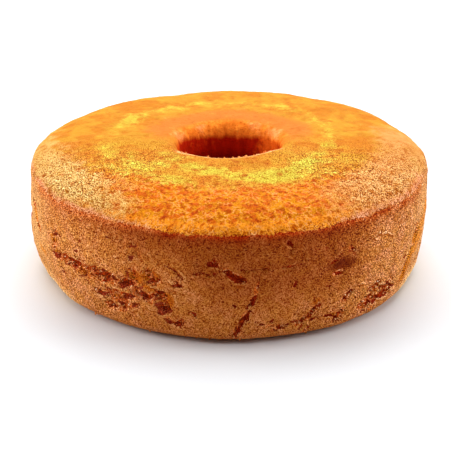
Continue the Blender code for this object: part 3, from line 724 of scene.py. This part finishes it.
hole_side = fall(radius, 0.040, 0.005)
hole_level = 0.0662 + 0.0040 * fall(from_front, 175, 85)
# The dark inside of the hole: browned crust and painted shade.
hole_crust_and_shade = hole_side * np.clip((hole_level - height) / 0.010 + 0.5, 0, 1)
orange_end = fall(degrees, 158, 30) * (degrees > 0)
orange_end = np.maximum(orange_end, 0.6 * rise(degrees, -120, 26) * (degrees < 0))
# Painted shade: the inside of the hole darkens further down.
bake_and_shade_depth += 1.1 * hole_side * fall(height, 0.060, 0.012) * (1 - 0.8 * orange_end)
blushed = patches(LIP_PATCHES, radius) * on_top
# Painted highlight: a pale line along the front lip of the hole.
lip_highlight_line = fall(radius, 0.0406, 0.0026) * rise(radius, 0.0345, 0.0015) * on_top * fall(away, -0.014, 0.012)
print("points red at the rim:", int((rim > 0.5).sum()), "and in the hole:", int((hole_crust_and_shade > 0.5).sum()))

# %% Tears and grain, then all masks onto the mesh
tear = edge_ramp(inside_tear)
# Painted light: tears at the left, where more light falls, get more light flecks than those in front.
lit_left_tears = fall(np.abs(turned_from(-60)), 50, 8)
# Painted shade: the creases between crumbs in the tears are darker.
crevice_shade = torn * fall(second - nearest, 0.45, 0.45)
wall_share = on_wall * (1 - on_top)
smooth_amber = amber * (0.6 - 0.4 * rise(degrees, 50, 6) * (degrees < 90))
graininess = np.maximum((0.76 + 0.24 * front_wall) * wall_share, dome_grain * on_top)
graininess *= (1 - smooth_amber) * (1 - 0.75 * scorch)
wall_specks = 0.80 + (1 - front_wall) * (1 - 0.7 * back_wall) + 0.6 * rise(degrees, 12, 20)
specks = np.maximum((wall_specks + torn) * wall_share, dome_specks * on_top)

masks = dict(
    lemon=lemon, freckled=freckled, reddened=reddened, near_hole=near_hole, pale=pale, pinkish=pinkish,
    shoulder=shoulder, flushed=flushed, dimpled=dimpled, near_front=near_front, hole_lip=hole_lip, amber=amber,
    pale_and_lit_side=pale_and_lit_side, bake_and_shade_depth=bake_and_shade_depth, crack=crack, crack_lip=crack_lip, flake=flake,
    flake_shadow=flake_shadow, tear=tear, lit_left_tears=lit_left_tears, crevice_shade=crevice_shade, dome_side=dome_side, rim=rim,
    rim_front=rim_front, rim_scorch=rim_scorch, hole_crust_and_shade=hole_crust_and_shade, orange_end=orange_end, blushed=blushed,
    lip_highlight_line=lip_highlight_line, graininess=graininess, specks=specks,
)
for name, values in masks.items():
    set_mask(cake_body, name, values)
torn_share = float((tear[on_wall > 0.9] > 0.5).mean())
print("masks:", len(masks), "share of the wall that is torn:", round(torn_share, 3))

# %% [markdown]
# ## Building materials from nodes
# A node tree is easier to read when it is written like a sum. A Value stands for what comes out of a node's socket,
# and + - and * between Values make the Math nodes. The other helpers each make one kind of node and give a Value.

# %% Values and sums
def add_node(tree, kind, feeds=None, **settings):
    """A node with its settings, and each input in feeds either linked or given a plain value."""
    made = tree.nodes.new(kind)
    for name, value in settings.items():
        setattr(made, name, value)
    for socket, value in (feeds or {}).items():
        if isinstance(value, Value):
            tree.links.new(value.socket, made.inputs[socket])
        else:
            made.inputs[socket].default_value = value
    return made


def node_value(tree, output, kind, feeds=None, **settings):
    """One output of a new node as a Value."""
    return Value(add_node(tree, kind, feeds, **settings).outputs[output])


class Value:
    """What comes out of a node's socket, to be written in sums with other Values and plain numbers."""

    def __init__(self, socket):
        self.socket = socket
        self.tree = socket.id_data

    def worked(self, operation, first, second):
        """One Math node."""
        return node_value(self.tree, 0, "ShaderNodeMath", {0: first, 1: second}, operation=operation)

    def __add__(self, other):
        return self.worked("ADD", self, other)

    def __sub__(self, other):
        return self.worked("SUBTRACT", self, other)

    def __rsub__(self, other):
        return self.worked("SUBTRACT", other, self)

    def __mul__(self, other):
        return self.worked("MULTIPLY", self, other)

    def __abs__(self):
        return self.worked("ABSOLUTE", self, 0.0)

    def at_least(self, other):
        """The larger of the two."""
        return self.worked("MAXIMUM", self, other)

    def at_most(self, other):
        """The smaller of the two."""
        return self.worked("MINIMUM", self, other)

    def between(self, low, high):
        """A smooth step, 0 at low and 1 at high."""
        feeds = {"Value": self, "From Min": low, "From Max": high}
        return node_value(self.tree, "Result", "ShaderNodeMapRange", feeds, interpolation_type="SMOOTHSTEP")


# %% Node helpers
BUMP_STRENGTH = 0.6


def mask_of(tree, name):
    """A mask kept on the mesh."""
    return node_value(tree, "Fac", "ShaderNodeAttribute", attribute_name=name, attribute_type="GEOMETRY")


def mixed(share, first, second):
    """A colour between the first and the second."""
    return node_value(share.tree, 2, "ShaderNodeMix", {0: share, 6: first, 7: second}, data_type="RGBA")


def noise(where, size, detail=3.0, roughness=0.55):
    """Soft noise about 0.5 with features of this size in metres."""
    feeds = {"Vector": where, "Scale": 1 / size, "Detail": detail, "Roughness": roughness}
    return node_value(where.tree, "Fac", "ShaderNodeTexNoise", feeds)


def cells(where, size):
    """The distance in cells to the nearest of centres scattered at this spacing, and its random colour."""
    made = add_node(where.tree, "ShaderNodeTexVoronoi", {"Vector": where, "Scale": 1 / size}, feature="F1")
    return Value(made.outputs["Distance"]), Value(made.outputs["Color"])


def warped(where, size, reach):
    """The place pushed about by noise, up to half the reach each way."""
    feeds = {"Vector": where, "Scale": 1 / size, "Detail": 1.0}
    push = node_value(where.tree, "Color", "ShaderNodeTexNoise", feeds)
    feeds = {0: push, 1: (reach, reach, reach), 2: where}
    return node_value(where.tree, 0, "ShaderNodeVectorMath", feeds, operation="MULTIPLY_ADD")


def stretched(where, factors):
    """The place with its three axes multiplied, so that a pattern on it runs long where a factor is small."""
    return node_value(where.tree, 0, "ShaderNodeVectorMath", {0: where, 1: factors}, operation="MULTIPLY")


def colour(red, green, blue):
    """A colour from 0 to 255 in screen values, turned into the linear values that shaders work in."""
    parts = np.array([red, green, blue]) / 255
    linear = np.where(parts < 0.04, parts / 12.92, ((parts + 0.055) / 1.055) ** 2.4)
    return (*linear.tolist(), 1.0)


def new_material(name):
    """A material, its Principled shader and the piece's own Object coordinates."""
    made = bpy.data.materials.new(name)
    made.use_nodes = True
    place = node_value(made.node_tree, "Object", "ShaderNodeTexCoord")
    return made, made.node_tree.nodes["Principled BSDF"], place


def finish_surface(shader, skin, height, depth, specular):
    """Puts the colour, a bump of this depth and a low specular level on the shader, since cake is dry."""
    tree = skin.tree
    tree.links.new(skin.socket, shader.inputs["Base Color"])
    bump = add_node(tree, "ShaderNodeBump", {"Height": height, "Distance": depth, "Strength": BUMP_STRENGTH})
    tree.links.new(bump.outputs["Normal"], shader.inputs["Normal"])
    shader.inputs["Specular IOR Level"].default_value = specular


# %% [markdown]
# ## Grain and pores
# Cornmeal is coarse, so crust and crumb share one texture: grains about a millimetre across, with small dark pores
# between them where bubbles opened. It is a node group, so the crust and the loose crumbs can both use it.

# %% The grain group
SPECK_SIZE, GRAIN_SIZE, CLUMP_SIZE, BLOTCH_SIZE = 0.0006, 0.0010, 0.0022, 0.0075
PORE_SPACING = 0.0034


def grain_group():
    """Puts out the grain's height, its darkness about 0, fine specks, clumps, mottling and a mask of pores."""
    group = bpy.data.node_groups.new("meal_grain", "ShaderNodeTree")
    group.interface.new_socket("Place", in_out="INPUT", socket_type="NodeSocketVector")
    place = Value(group.nodes.new("NodeGroupInput").outputs["Place"])
    dots = noise(place, SPECK_SIZE, 0.0)
    fine = noise(place, GRAIN_SIZE, 1.0, 0.6)
    clumps = noise(place, CLUMP_SIZE, 1.0, 0.5)
    pore_distance, _ = cells(place, PORE_SPACING)
    pores = (clumps * 0.34 - pore_distance).between(-0.03, 0.05)
    puts_out = {
        "Height": fine + clumps + dots * 0.5 - pores * 0.6,
        "Darkness": (fine - 0.5) * -1.7 - (clumps - 0.5) * 0.9,
        "Specks": (dots - 0.5) * -2.0 + dots.between(0.44, 0.30) * 0.5,
        "Clumps": clumps,
        "Mottle": noise(place, BLOTCH_SIZE, 3.0, 0.6),
        "Pores": pores,
    }
    for name in puts_out:
        group.interface.new_socket(name, in_out="OUTPUT", socket_type="NodeSocketFloat")
    ends = group.nodes.new("NodeGroupOutput")
    for name, value in puts_out.items():
        group.links.new(value.socket, ends.inputs[name])
    return group


def meal_at(place):
    """The grain at this place, by the names of what the group puts out."""
    made = add_node(place.tree, "ShaderNodeGroup", {"Place": place}, node_tree=meal_grain)
    return {output.name: Value(output) for output in made.outputs}


meal_grain = grain_group()
print("grain group sockets:", [item.name for item in meal_grain.interface.items_tree])

# %% [markdown]
# ## The crust
# Browning works like a dye: a crust that is twice as brown swallows the light twice over, blue most and red least.
# So the crust has a light colour for each place and two dyes, one for the broad bake and a redder one for grain,
# pores and creases. The light colour is multiplied by each dye raised to the power of its depth. Dark places come
# out more red as well as darker, as they do on a real crust. The depths also carry painted shade and light. The
# broad one darkens the front wall, the back and the inside of the hole and lightens the sides. The redder one
# darkens the creases of the tears and the places under the flakes.

# %% Crust colours
GOLDEN = colour(203, 143, 42)
ORANGE = colour(200, 121, 32)
DEEP_ORANGE = colour(208, 120, 46)
# The back lip of the hole: its own orange, brightened as painted light.
LIP_ORANGE_AND_LIGHT = colour(255, 138, 38)
LEMON = colour(203, 182, 62)
FRECKLE_RED = colour(202, 86, 6)
FRECKLE_GOLD = colour(212, 130, 12)
SHOULDER_ORANGE = colour(246, 148, 32)
# Pale curls on the freckled front of the dome, a painted highlight.
CURL_HIGHLIGHT = colour(234, 152, 84)
PINKISH_MEAL = colour(214, 148, 80)
PALE_MEAL = colour(214, 165, 90)
FLUSHED_MEAL = colour(228, 146, 94)
SPOT_BROWN = colour(178, 82, 12)
WALL_MEAL = colour(230, 146, 84)
WALL_GOLD = colour(228, 146, 68)
# Paler meal of the sides, partly painted light.
SIDE_MEAL_AND_LIGHT = colour(234, 168, 92)
TORN_CRUMB = colour(244, 130, 50)
# Pale lips under the cracks, a painted highlight, and pale crumb flecks.
TORN_RIDGE_AND_HIGHLIGHT = colour(255, 178, 108)
# Painted shade: the dark reds of the pits and cracks and of their edges.
PIT_EDGE_SHADE = colour(192, 70, 10)
PIT_SHADE_RED = colour(172, 44, 2)
PIT_SHADE_DARK = colour(116, 13, 0)
CRACK_FLECK = colour(226, 112, 66)
FLAKE_PALE = colour(248, 174, 106)
AMBER = colour(216, 116, 22)
# Lighter amber of the sides, partly painted light.
SIDE_AMBER_AND_LIGHT = colour(246, 152, 42)
RIM_RED = colour(224, 76, 18)
RIM_BLUSH = colour(224, 98, 50)
# Inside of the hole: browned crust, darkened as painted shade.
HOLE_BROWN_AND_SHADE = colour(186, 34, 4)
HOLE_ORANGE = colour(234, 98, 20)
# A pale line along the front lip of the hole, a painted highlight.
LIP_HIGHLIGHT = colour(240, 172, 108)
LIP_BLUSH = colour(252, 152, 84)
BAKE_DYE = (math.exp(-1.0), math.exp(-1.8), math.exp(-2.8), 1.0)
GRAIN_DYE = (math.exp(-1.0), math.exp(-2.15), math.exp(-4.4), 1.0)
print("light left at depth 1, bake:", np.round(BAKE_DYE[:3], 2), "grain:", np.round(GRAIN_DYE[:3], 2))

# %% Ragged edges of the masks
RAGGED_EDGES = {
    # mask: share of the blotches, share of the grain, where it starts, where it is full
    "near_hole": (0.60, 0.00, 0.15, 0.95),
    "lemon": (0.55, -0.35, 0.15, 0.85),
    "reddened": (-0.70, 0.00, 0.10, 0.90),
    "shoulder": (0.50, -0.30, 0.25, 0.85),
    "pinkish": (0.50, -0.30, 0.20, 1.05),
    "pale": (0.90, -0.30, 0.20, 1.05),
    "flushed": (0.40, -0.50, 0.25, 0.85),
    "blushed": (0.60, -0.30, 0.25, 1.00),
    "lip_highlight_line": (0.60, -0.30, 0.25, 0.85),
    "orange_end": (1.00, 0.00, 0.20, 0.90),
    "amber": (0.30, 0.15, 0.22, 0.52),
    "tear": (0.00, 0.35, 0.34, 0.60),
    "flake": (0.00, -0.15, 0.42, 0.58),
    "flake_shadow": (0.00, 0.15, 0.42, 0.56),
}
BLOTCH_CONTRAST = 2.2


def crust_meal(place):
    """The grain with two more names: Blotches about 0, and Crackle, which is blotches less half the grain."""
    meal = meal_at(place)
    meal["Blotches"] = (meal["Mottle"] - 0.5) * BLOTCH_CONTRAST
    meal["Crackle"] = meal["Blotches"] - meal["Darkness"] * 0.5
    return meal


def ragged(meal, name):
    """A mask with shares of the blotches and the grain added, then a smooth step from its start to full."""
    blotches, grain, start, full = RAGGED_EDGES[name]
    mask = mask_of(meal["Blotches"].tree, name)
    return (mask + meal["Blotches"] * blotches + meal["Darkness"] * grain).between(start, full)


def dyed(skin, dye, depth):
    """The skin's colour multiplied by the dye to the power of the depth."""
    share = node_value(depth.tree, "Color", "ShaderNodeGamma", {"Color": dye, "Gamma": depth})
    feeds = {0: 1.0, 6: skin, 7: share}
    return node_value(depth.tree, 2, "ShaderNodeMix", feeds, data_type="RGBA", blend_type="MULTIPLY")


# %% Colour of the dome
BROAD_SIZE = 0.014
FRECKLE_SPACING, FRECKLE_WARP = 0.0034, (0.0022, 0.0024)
SPOT_SPACING, SPOT_WARP = 0.0062, (0.0030, 0.0020)


def dome_colour(tree, place, meal, worm):
    """Golden and orange blotches, then the lemon ring, red freckles, pale curls painted as highlights, pale meal and
    small brown spots.
    """
    blotches, freckled = meal["Blotches"], mask_of(tree, "freckled")
    skin = mixed(noise(place, BROAD_SIZE, 3.0, 0.6).between(0.40, 0.62), GOLDEN, ORANGE)
    skin = mixed(ragged(meal, "near_hole"), skin, DEEP_ORANGE)
    skin = mixed(ragged(meal, "lemon"), skin, LEMON)
    skin = mixed(ragged(meal, "reddened"), skin, FRECKLE_GOLD)
    freckle_distance, _ = cells(warped(place, *FRECKLE_WARP), FRECKLE_SPACING)
    freckles = (freckle_distance + blotches * 0.40).between(0.66, 0.26)
    skin = mixed(freckles * freckled * 0.85, skin, FRECKLE_RED)
    skin = mixed(ragged(meal, "shoulder"), skin, SHOULDER_ORANGE)
    # Painted highlight: pale curls on the freckled front of the dome.
    curl_highlights = abs(worm - 0.5).between(0.050, 0.014) * blotches.between(-0.30, 0.25)
    skin = mixed(curl_highlights * freckled * 0.8, skin, CURL_HIGHLIGHT)

    skin = mixed(ragged(meal, "pinkish"), skin, PINKISH_MEAL)
    skin = mixed(ragged(meal, "pale") * mask_of(tree, "pale").between(0.0, 0.25), skin, PALE_MEAL)
    skin = mixed(ragged(meal, "flushed"), skin, FLUSHED_MEAL)
    spot_distance, _ = cells(warped(place, *SPOT_WARP), SPOT_SPACING)
    spots = (spot_distance + blotches * 0.3).between(0.34, 0.14)
    spot_share = mask_of(tree, "near_front") * (1 - freckled * 0.7) * 0.45 + 0.22
    return mixed(spots * spot_share, skin, SPOT_BROWN)


# %% Colour of the wall
PIT_SPACING, PIT_WARP = 0.0029, (0.0018, 0.0026)


def torn_places(tree, place, meal, amber):
    """Masks of the torn skin, of the pits and cracks in it, of their red edges, which carry painted shade, and of the
    pale lips under them, a painted highlight joined with pale crumb flecks.

    The pits are round and lie at about six in ten of the scattered centres."""
    torn = ragged(meal, "tear")
    open_crumb = torn * (1 - amber * 0.9)
    rough_edge = meal["Darkness"] * 0.22 + meal["Specks"] * 0.16
    crack = mask_of(tree, "crack") + rough_edge
    pit_distance, chance = cells(warped(place, *PIT_WARP), PIT_SPACING)
    pit = pit_distance.between(0.60, 0.20) * chance.between(0.66, 0.58) * open_crumb
    pits = pit.between(0.40, 0.70).at_least(crack.between(0.48, 0.58))
    edges = pit.between(0.15, 0.50).at_least(crack.between(0.41, 0.53))
    flecks = (meal["Darkness"] + meal["Specks"]).between(-0.10, -0.55) * open_crumb
    # Painted highlight: pale lips under the cracks, joined with the pale crumb flecks.
    lips = (mask_of(tree, "crack_lip") + rough_edge).between(0.44, 0.58) * 0.8
    return torn, pits, edges, lips.at_least(flecks) * (1 - edges)


def wall_colour(tree, meal, amber, torn, lips):
    """Tan meal with golden patches, amber scars where skin pulled thin, torn crumb and pale flakes; the paler sides
    and their lighter amber are partly painted light, and the pale lips under the cracks are a painted highlight.
    """
    pale_and_lit_side = mask_of(tree, "pale_and_lit_side")
    skin = mixed(meal["Blotches"].between(-0.25, 0.35), WALL_GOLD, WALL_MEAL)
    # The paler sides and their lighter amber are partly painted light.
    skin = mixed(pale_and_lit_side * 0.8, skin, SIDE_MEAL_AND_LIGHT)
    skin = mixed(torn, skin, TORN_CRUMB)
    skin = mixed(amber, skin, mixed(pale_and_lit_side, AMBER, SIDE_AMBER_AND_LIGHT))
    # Pale lips and flecks, the lips a painted highlight.
    skin = mixed(lips * 0.9, skin, TORN_RIDGE_AND_HIGHLIGHT)
    return mixed(ragged(meal, "flake") * 0.85, skin, FLAKE_PALE)


def pit_shade_colour(tree, meal):
    """Dark to deep red in clumps, painted shade for the pits and cracks, with lighter flecks, more of them in the
    wide tears at the left, where they are partly painted light.
    """
    lit_left_tears = mask_of(tree, "lit_left_tears")
    bright = (meal["Darkness"] + meal["Specks"]).between(-0.05, -0.60)
    # More light flecks in the tears at the left, as painted light.
    bright = bright * (lit_left_tears * 0.60 + 0.15) + lit_left_tears * 0.12
    shade = (meal["Clumps"] - meal["Specks"] * 0.4).between(0.35, 0.65)
    return mixed(bright, mixed(shade, PIT_SHADE_DARK, PIT_SHADE_RED), CRACK_FLECK)


# %% Rim, hole and depth of the bake
STREAK_SIZE, STREAK_STRETCH, STREAK_CONTRAST = 0.0034, (1, 1, 0.3), 0.42
LIGHT_GRAIN_SHARE = 0.46


def hole_colour(tree, meal, streaks, skin):
    """The hole's orange lip, partly painted light, its red inside, which runs in streaks down the side and is partly
    painted shade, and the pale line in front, a painted highlight.
    """
    # The back lip is a brighter orange, partly painted light.
    skin = mixed(mask_of(tree, "hole_lip") * 0.9, skin, LIP_ORANGE_AND_LIGHT)
    skin = mixed(ragged(meal, "blushed") * 0.8, skin, LIP_BLUSH)
    inside = mixed(ragged(meal, "orange_end"), HOLE_BROWN_AND_SHADE, HOLE_ORANGE)
    skin = mixed((mask_of(tree, "hole_crust_and_shade") + streaks).between(0.28, 0.70), skin, inside)
    return mixed(ragged(meal, "lip_highlight_line") * mask_of(tree, "lip_highlight_line"), skin, LIP_HIGHLIGHT)


def bake_shade_and_grain(tree, meal, torn, lips, rim, streaks, worm):
    """The powers of the two dyes: the broad bake with its painted shade and light, lightened by pale grains, and
    grain with pores, creases darkened as painted shade and a painted shadow under each flake.
    """
    grain = (meal["Darkness"] + meal["Pores"] * 0.7) * mask_of(tree, "graininess")
    grain = grain + meal["Specks"] * mask_of(tree, "specks")
    bake = mask_of(tree, "bake_and_shade_depth") * (1 - torn * 0.8 - lips * 0.4)
    bake = bake - meal["Blotches"] * 0.14 + grain.at_most(0.0) * LIGHT_GRAIN_SHARE
    bake = bake + mask_of(tree, "hole_lip") * streaks * 2.2

    dimples = worm.between(0.585, 0.68) * mask_of(tree, "dimpled")
    shadow = ragged(meal, "flake_shadow") - mask_of(tree, "flake").between(0.42, 0.56)
    scorched = mask_of(tree, "rim_scorch") * meal["Crackle"].between(0.3, -0.3)
    # Painted shade in the creases of the tears, and a painted shadow under each flake.
    grain = grain.at_least(0.0) + dimples * 0.40 + mask_of(tree, "crevice_shade") * 0.15 + rim * 0.20
    return bake, grain + scorched * 0.5 + shadow.at_least(0.0) * 0.4


# %% Crust material
WORM_SIZE = 0.0030
CRUST_BUMP, CRUST_SPECULAR = 0.0008, 0.03


def crust_material():
    """Light colours mixed by the masks, then multiplied by the two dyes to the power of their depths."""
    made, shader, place = new_material("baked_crust")
    tree = place.tree
    meal = crust_meal(place)
    amber = ragged(meal, "amber")
    torn, pits, edges, lips = torn_places(tree, place, meal, amber)
    worm = noise(place, WORM_SIZE, 1.0, 0.5)
    streaks = (noise(stretched(place, STREAK_STRETCH), STREAK_SIZE, 2.0) - 0.5) * STREAK_CONTRAST

    dome_edge = mask_of(tree, "dome_side") - meal["Darkness"] * 0.10 - meal["Specks"] * 0.05
    dome_edge = dome_edge.between(0.45, 0.55)
    rim = mask_of(tree, "rim") * (1 - meal["Crackle"] * 0.8) * (1 - dome_edge)
    rim = rim.at_least(0.0)
    rim_tint = mixed(mask_of(tree, "rim_front"), RIM_BLUSH, RIM_RED)
    wall = mixed(rim.between(0.0, 1.1), wall_colour(tree, meal, amber, torn, lips), rim_tint)
    skin = mixed(dome_edge, wall, dome_colour(tree, place, meal, worm))
    skin = hole_colour(tree, meal, streaks, skin)

    bake, grain = bake_shade_and_grain(tree, meal, torn, lips, rim, streaks, worm)
    skin = dyed(dyed(skin, BAKE_DYE, bake), GRAIN_DYE, grain)
    # Painted shade: the edges, pits and cracks are painted dark red.
    skin = mixed(edges * 0.7, skin, PIT_EDGE_SHADE)
    skin = mixed(pits, skin, pit_shade_colour(tree, meal))
    finish_surface(shader, skin, meal["Height"] - pits * 1.2 + lips * 0.4, CRUST_BUMP, CRUST_SPECULAR)
    tree.links.new((meal["Mottle"] * 0.2 + 0.6).socket, shader.inputs["Roughness"])
    return made


baked_crust = crust_material()
cake_body.data.materials.append(baked_crust)
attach(cake_body, "root")
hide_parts("cake")
print("crust nodes:", len(baked_crust.node_tree.nodes))

# %% [markdown]
# ## Loose crumbs
# Torn cake sheds crumbs, and some stay in the tears, at the lip of the hole and along the foot. Each is a small lump
# with twenty faces. All are one mesh, made at once: the same twelve corners for every crumb, moved, turned and
# squashed by random numbers. Crumbs deep in a tear or a crack are redder and darker as painted shade, so each crumb
# keeps a mask for that.

# %% Shape of a crumb
LUMP_UNEVENNESS, LUMP_SQUASH = 0.3, (0.65, 1.15)


def lump_corners():
    """The twelve corners of an icosahedron, (0, 1, golden ratio) and its like, at unit radius, and its faces."""
    ratio = (1 + math.sqrt(5)) / 2
    four = [(side, up, 0) for up in (ratio, -ratio) for side in (-1, 1)]
    corners = np.vstack([np.roll(four, shift, axis=1) for shift in range(3)])
    faces = np.array([
        (0, 11, 5), (0, 5, 1), (0, 1, 7), (0, 7, 10), (0, 10, 11), (1, 5, 9), (5, 11, 4), (11, 10, 2), (10, 7, 6),
        (7, 1, 8), (3, 9, 4), (3, 4, 2), (3, 2, 6), (3, 6, 8), (3, 8, 9), (4, 9, 5), (2, 4, 11), (6, 2, 10),
        (8, 6, 7), (9, 8, 1),
    ])
    return corners / np.linalg.norm(corners[0]), faces


def random_turns(draw, count):
    """Random rotations from unit quaternions, one 3 by 3 matrix each."""
    four = draw.normal(size=(4, count))
    w, x, y, z = four / np.linalg.norm(four, axis=0)
    rows = ((1 - 2 * (y * y + z * z), 2 * (x * y - z * w), 2 * (x * z + y * w)),
            (2 * (x * y + z * w), 1 - 2 * (x * x + z * z), 2 * (y * z - x * w)),
            (2 * (x * z - y * w), 2 * (y * z + x * w), 1 - 2 * (x * x + y * y)))
    return np.stack([np.stack(row, axis=-1) for row in rows], axis=-2)


def lumps(draw, centres, sizes):
    """Crumbs at these centres: the lump's corners, pushed in or out by a third, squashed, turned and moved."""
    corners, faces = lump_corners()
    shape = corners[None] * (1 + LUMP_UNEVENNESS * draw.uniform(-1, 1, (len(centres), len(corners), 1)))
    shape *= draw.uniform(*LUMP_SQUASH, (len(centres), 1, 3)) * sizes[:, None, None]
    turned = np.einsum("nij,nkj->nki", random_turns(draw, len(centres)), shape)
    points = (centres[:, None] + turned).reshape(-1, 3)
    first = np.arange(len(centres))[:, None, None] * len(corners)
    return points, (first + faces[None]).reshape(-1, 3)


# %% Crumbs on the torn places, the foot and the lip
TEAR_CRUMBS, FOOT_CRUMBS, LIP_CRUMBS = 2200, 16, 30
CRUMB_RADII = (0.0003, 0.0008)
CRUMB_SINK = (-0.5, 0.6)
CRUMB_CLEARANCE = 1.5
CORNERS_OF_A_CRUMB = 12

draw = np.random.default_rng(SEED + 5)
weights = (
    (TEAR_CRUMBS, torn * (inside_tear > 0.0004)),
    (FOOT_CRUMBS, on_wall * bell(height, 0.0022, 0.0012)),
    (LIP_CRUMBS, lip_highlight_line * fall(radius, 0.0385, 0.0008)),
)
chosen = np.concatenate([draw.choice(len(weight), count, p=weight / weight.sum()) for count, weight in weights])
crumb_radii = draw.uniform(*CRUMB_RADII, len(chosen))
sunk = crumb_radii * draw.uniform(*CRUMB_SINK, len(chosen))
centres = cake_points[chosen] + outward[chosen] * sunk[:, None]
centres[:, 2] = np.maximum(centres[:, 2], crumb_radii * CRUMB_CLEARANCE)
crumb_points, crumb_faces = lumps(draw, centres, crumb_radii)
crumbs = mesh_object("crumbs", inside_box(crumb_points), crumb_faces)

# Painted shade: crumbs that lie deep in a tear or on a crack are redder and darker.
deep_shade = 0.9 * rise(inside_tear[chosen], 0.0008, 0.0018) * fall(draw.random(len(chosen)), 0.84, 0.70)
deep_shade = np.maximum(deep_shade, rise(crack[chosen], 0.34, 0.10))
set_mask(crumbs, "deep_shade", np.repeat(deep_shade, CORNERS_OF_A_CRUMB))
print("crumbs:", len(chosen), "triangles:", len(crumb_faces))

# %% Crumb material
CRUMB_LIGHT = colour(250, 168, 96)
CRUMB_DARK = colour(230, 116, 44)
# Crumbs that lie deep, redder and darker as painted shade.
CRUMB_SHADE = colour(200, 72, 14)
CRUMB_TINT_SIZE = 0.0028
CRUMB_BUMP, CRUMB_SPECULAR, CRUMB_ROUGHNESS = 0.0003, 0.02, 0.9


def crumb_material():
    """Dull yellow to orange crumb, redder and darker where it lies deep as painted shade, with the same grain as the
    crust.
    """
    made, shader, place = new_material("loose_crumb")
    lump = mixed(noise(place, CRUMB_TINT_SIZE, 2.0).between(0.36, 0.64), CRUMB_DARK, CRUMB_LIGHT)
    skin = mixed(mask_of(place.tree, "deep_shade"), lump, CRUMB_SHADE)
    finish_surface(shader, skin, meal_at(place)["Height"], CRUMB_BUMP, CRUMB_SPECULAR)
    shader.inputs["Roughness"].default_value = CRUMB_ROUGHNESS
    return made


loose_crumb = crumb_material()
crumbs.data.materials.append(loose_crumb)
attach(crumbs, "root")
print("crumb nodes:", len(loose_crumb.node_tree.nodes))

# %% [markdown]
# ## The studio
# The photograph is bright and high in key. Its light is soft and comes mostly from above and behind, so the dome
# glows while the front wall stays deep brown. One wide area light hangs above, a second stands behind, one on each
# side lights the edges, and a weak one high in front fills the wall. The camera stands where the photograph was
# taken from, and its angles are in radians.

# %% Floor
FLOOR_HALF, FLOOR_GAP = 4.0, 0.0002
FLOOR_COLOUR, FLOOR_ROUGHNESS = (0.74, 0.765, 0.79, 1), 0.9

floor_corners = ((-1, -1), (1, -1), (1, 1), (-1, 1))
floor_points = np.array([(x * FLOOR_HALF, y * FLOOR_HALF, -FLOOR_GAP) for x, y in floor_corners])
floor = mesh_object("floor", floor_points, np.array([[0, 1, 2, 3]]))
floor_finish = bpy.data.materials.new("pale_floor")
floor_finish.use_nodes = True
floor_shader = floor_finish.node_tree.nodes["Principled BSDF"]
floor_shader.inputs["Base Color"].default_value = FLOOR_COLOUR
floor_shader.inputs["Roughness"].default_value = FLOOR_ROUGHNESS
floor.data.materials.append(floor_finish)
print("floor under the sole by mm:", round(FLOOR_GAP * 1000, 1))

# %% Lights
LIGHTS = (
    # name, place and size in metres, power in watts
    ("above", (0.0, 0.50, 1.9), (2.2, 1.6), 41),
    ("high front", (0.0, -0.9, 2.1), (1.2, 0.8), 10),
    ("back", (0.1, 1.9, 1.3), (2.4, 1.2), 30),
    ("left", (-1.4, 0.05, 0.6), (1.0, 0.8), 17),
    ("right", (1.4, 0.05, 0.6), (1.0, 0.8), 14),
)
LIGHT_TARGET = mathutils.Vector((0, 0, 0.04))
WORLD_STRENGTH = 0.06


def soft_light(name, place, size, power):
    """A rectangle of light that faces the middle of the cake."""
    data = bpy.data.lights.new(name, "AREA")
    data.shape = "RECTANGLE"
    data.size, data.size_y = size
    data.energy = power
    lamp = bpy.data.objects.new(name, data)
    lamp.location = place
    lamp.rotation_euler = (LIGHT_TARGET - lamp.location).to_track_quat("-Z", "Y").to_euler()
    bpy.context.scene.collection.objects.link(lamp)


for light in LIGHTS:
    soft_light(*light)
world = bpy.data.worlds.new("studio")
world.use_nodes = True
world.node_tree.nodes["Background"].inputs["Color"].default_value = (1, 1, 1, 1)
world.node_tree.nodes["Background"].inputs["Strength"].default_value = WORLD_STRENGTH
bpy.context.scene.world = world
bpy.context.scene.view_settings.view_transform = "Standard"
print("lights:", len(LIGHTS), "watts in all:", sum(power for *_, power in LIGHTS))

# %% Camera
CAMERA_PLACE = (0.0, -0.5899, 0.2803)
CAMERA_TILT, CAMERA_PAN, CAMERA_ROLL = 0.4188, 0.0024, -0.0046
LENS, SENSOR_WIDTH = 82.15, 36

camera_data = bpy.data.cameras.new("camera")
camera_data.lens = LENS
camera_data.sensor_width = SENSOR_WIDTH
camera = bpy.data.objects.new("camera", camera_data)
looking = (mathutils.Matrix.Rotation(CAMERA_PAN, 4, "Z") @ mathutils.Matrix.Rotation(-CAMERA_TILT, 4, "X")
           @ mathutils.Matrix.Rotation(CAMERA_ROLL, 4, "Y") @ mathutils.Matrix.Rotation(math.pi / 2, 4, "X"))
camera.matrix_world = mathutils.Matrix.Translation(CAMERA_PLACE) @ looking
bpy.context.scene.collection.objects.link(camera)
bpy.context.scene.camera = camera
print("camera's distance in metres:", round(mathutils.Vector(CAMERA_PLACE).length, 3))

# %% Update the scene
bpy.context.view_layer.update()
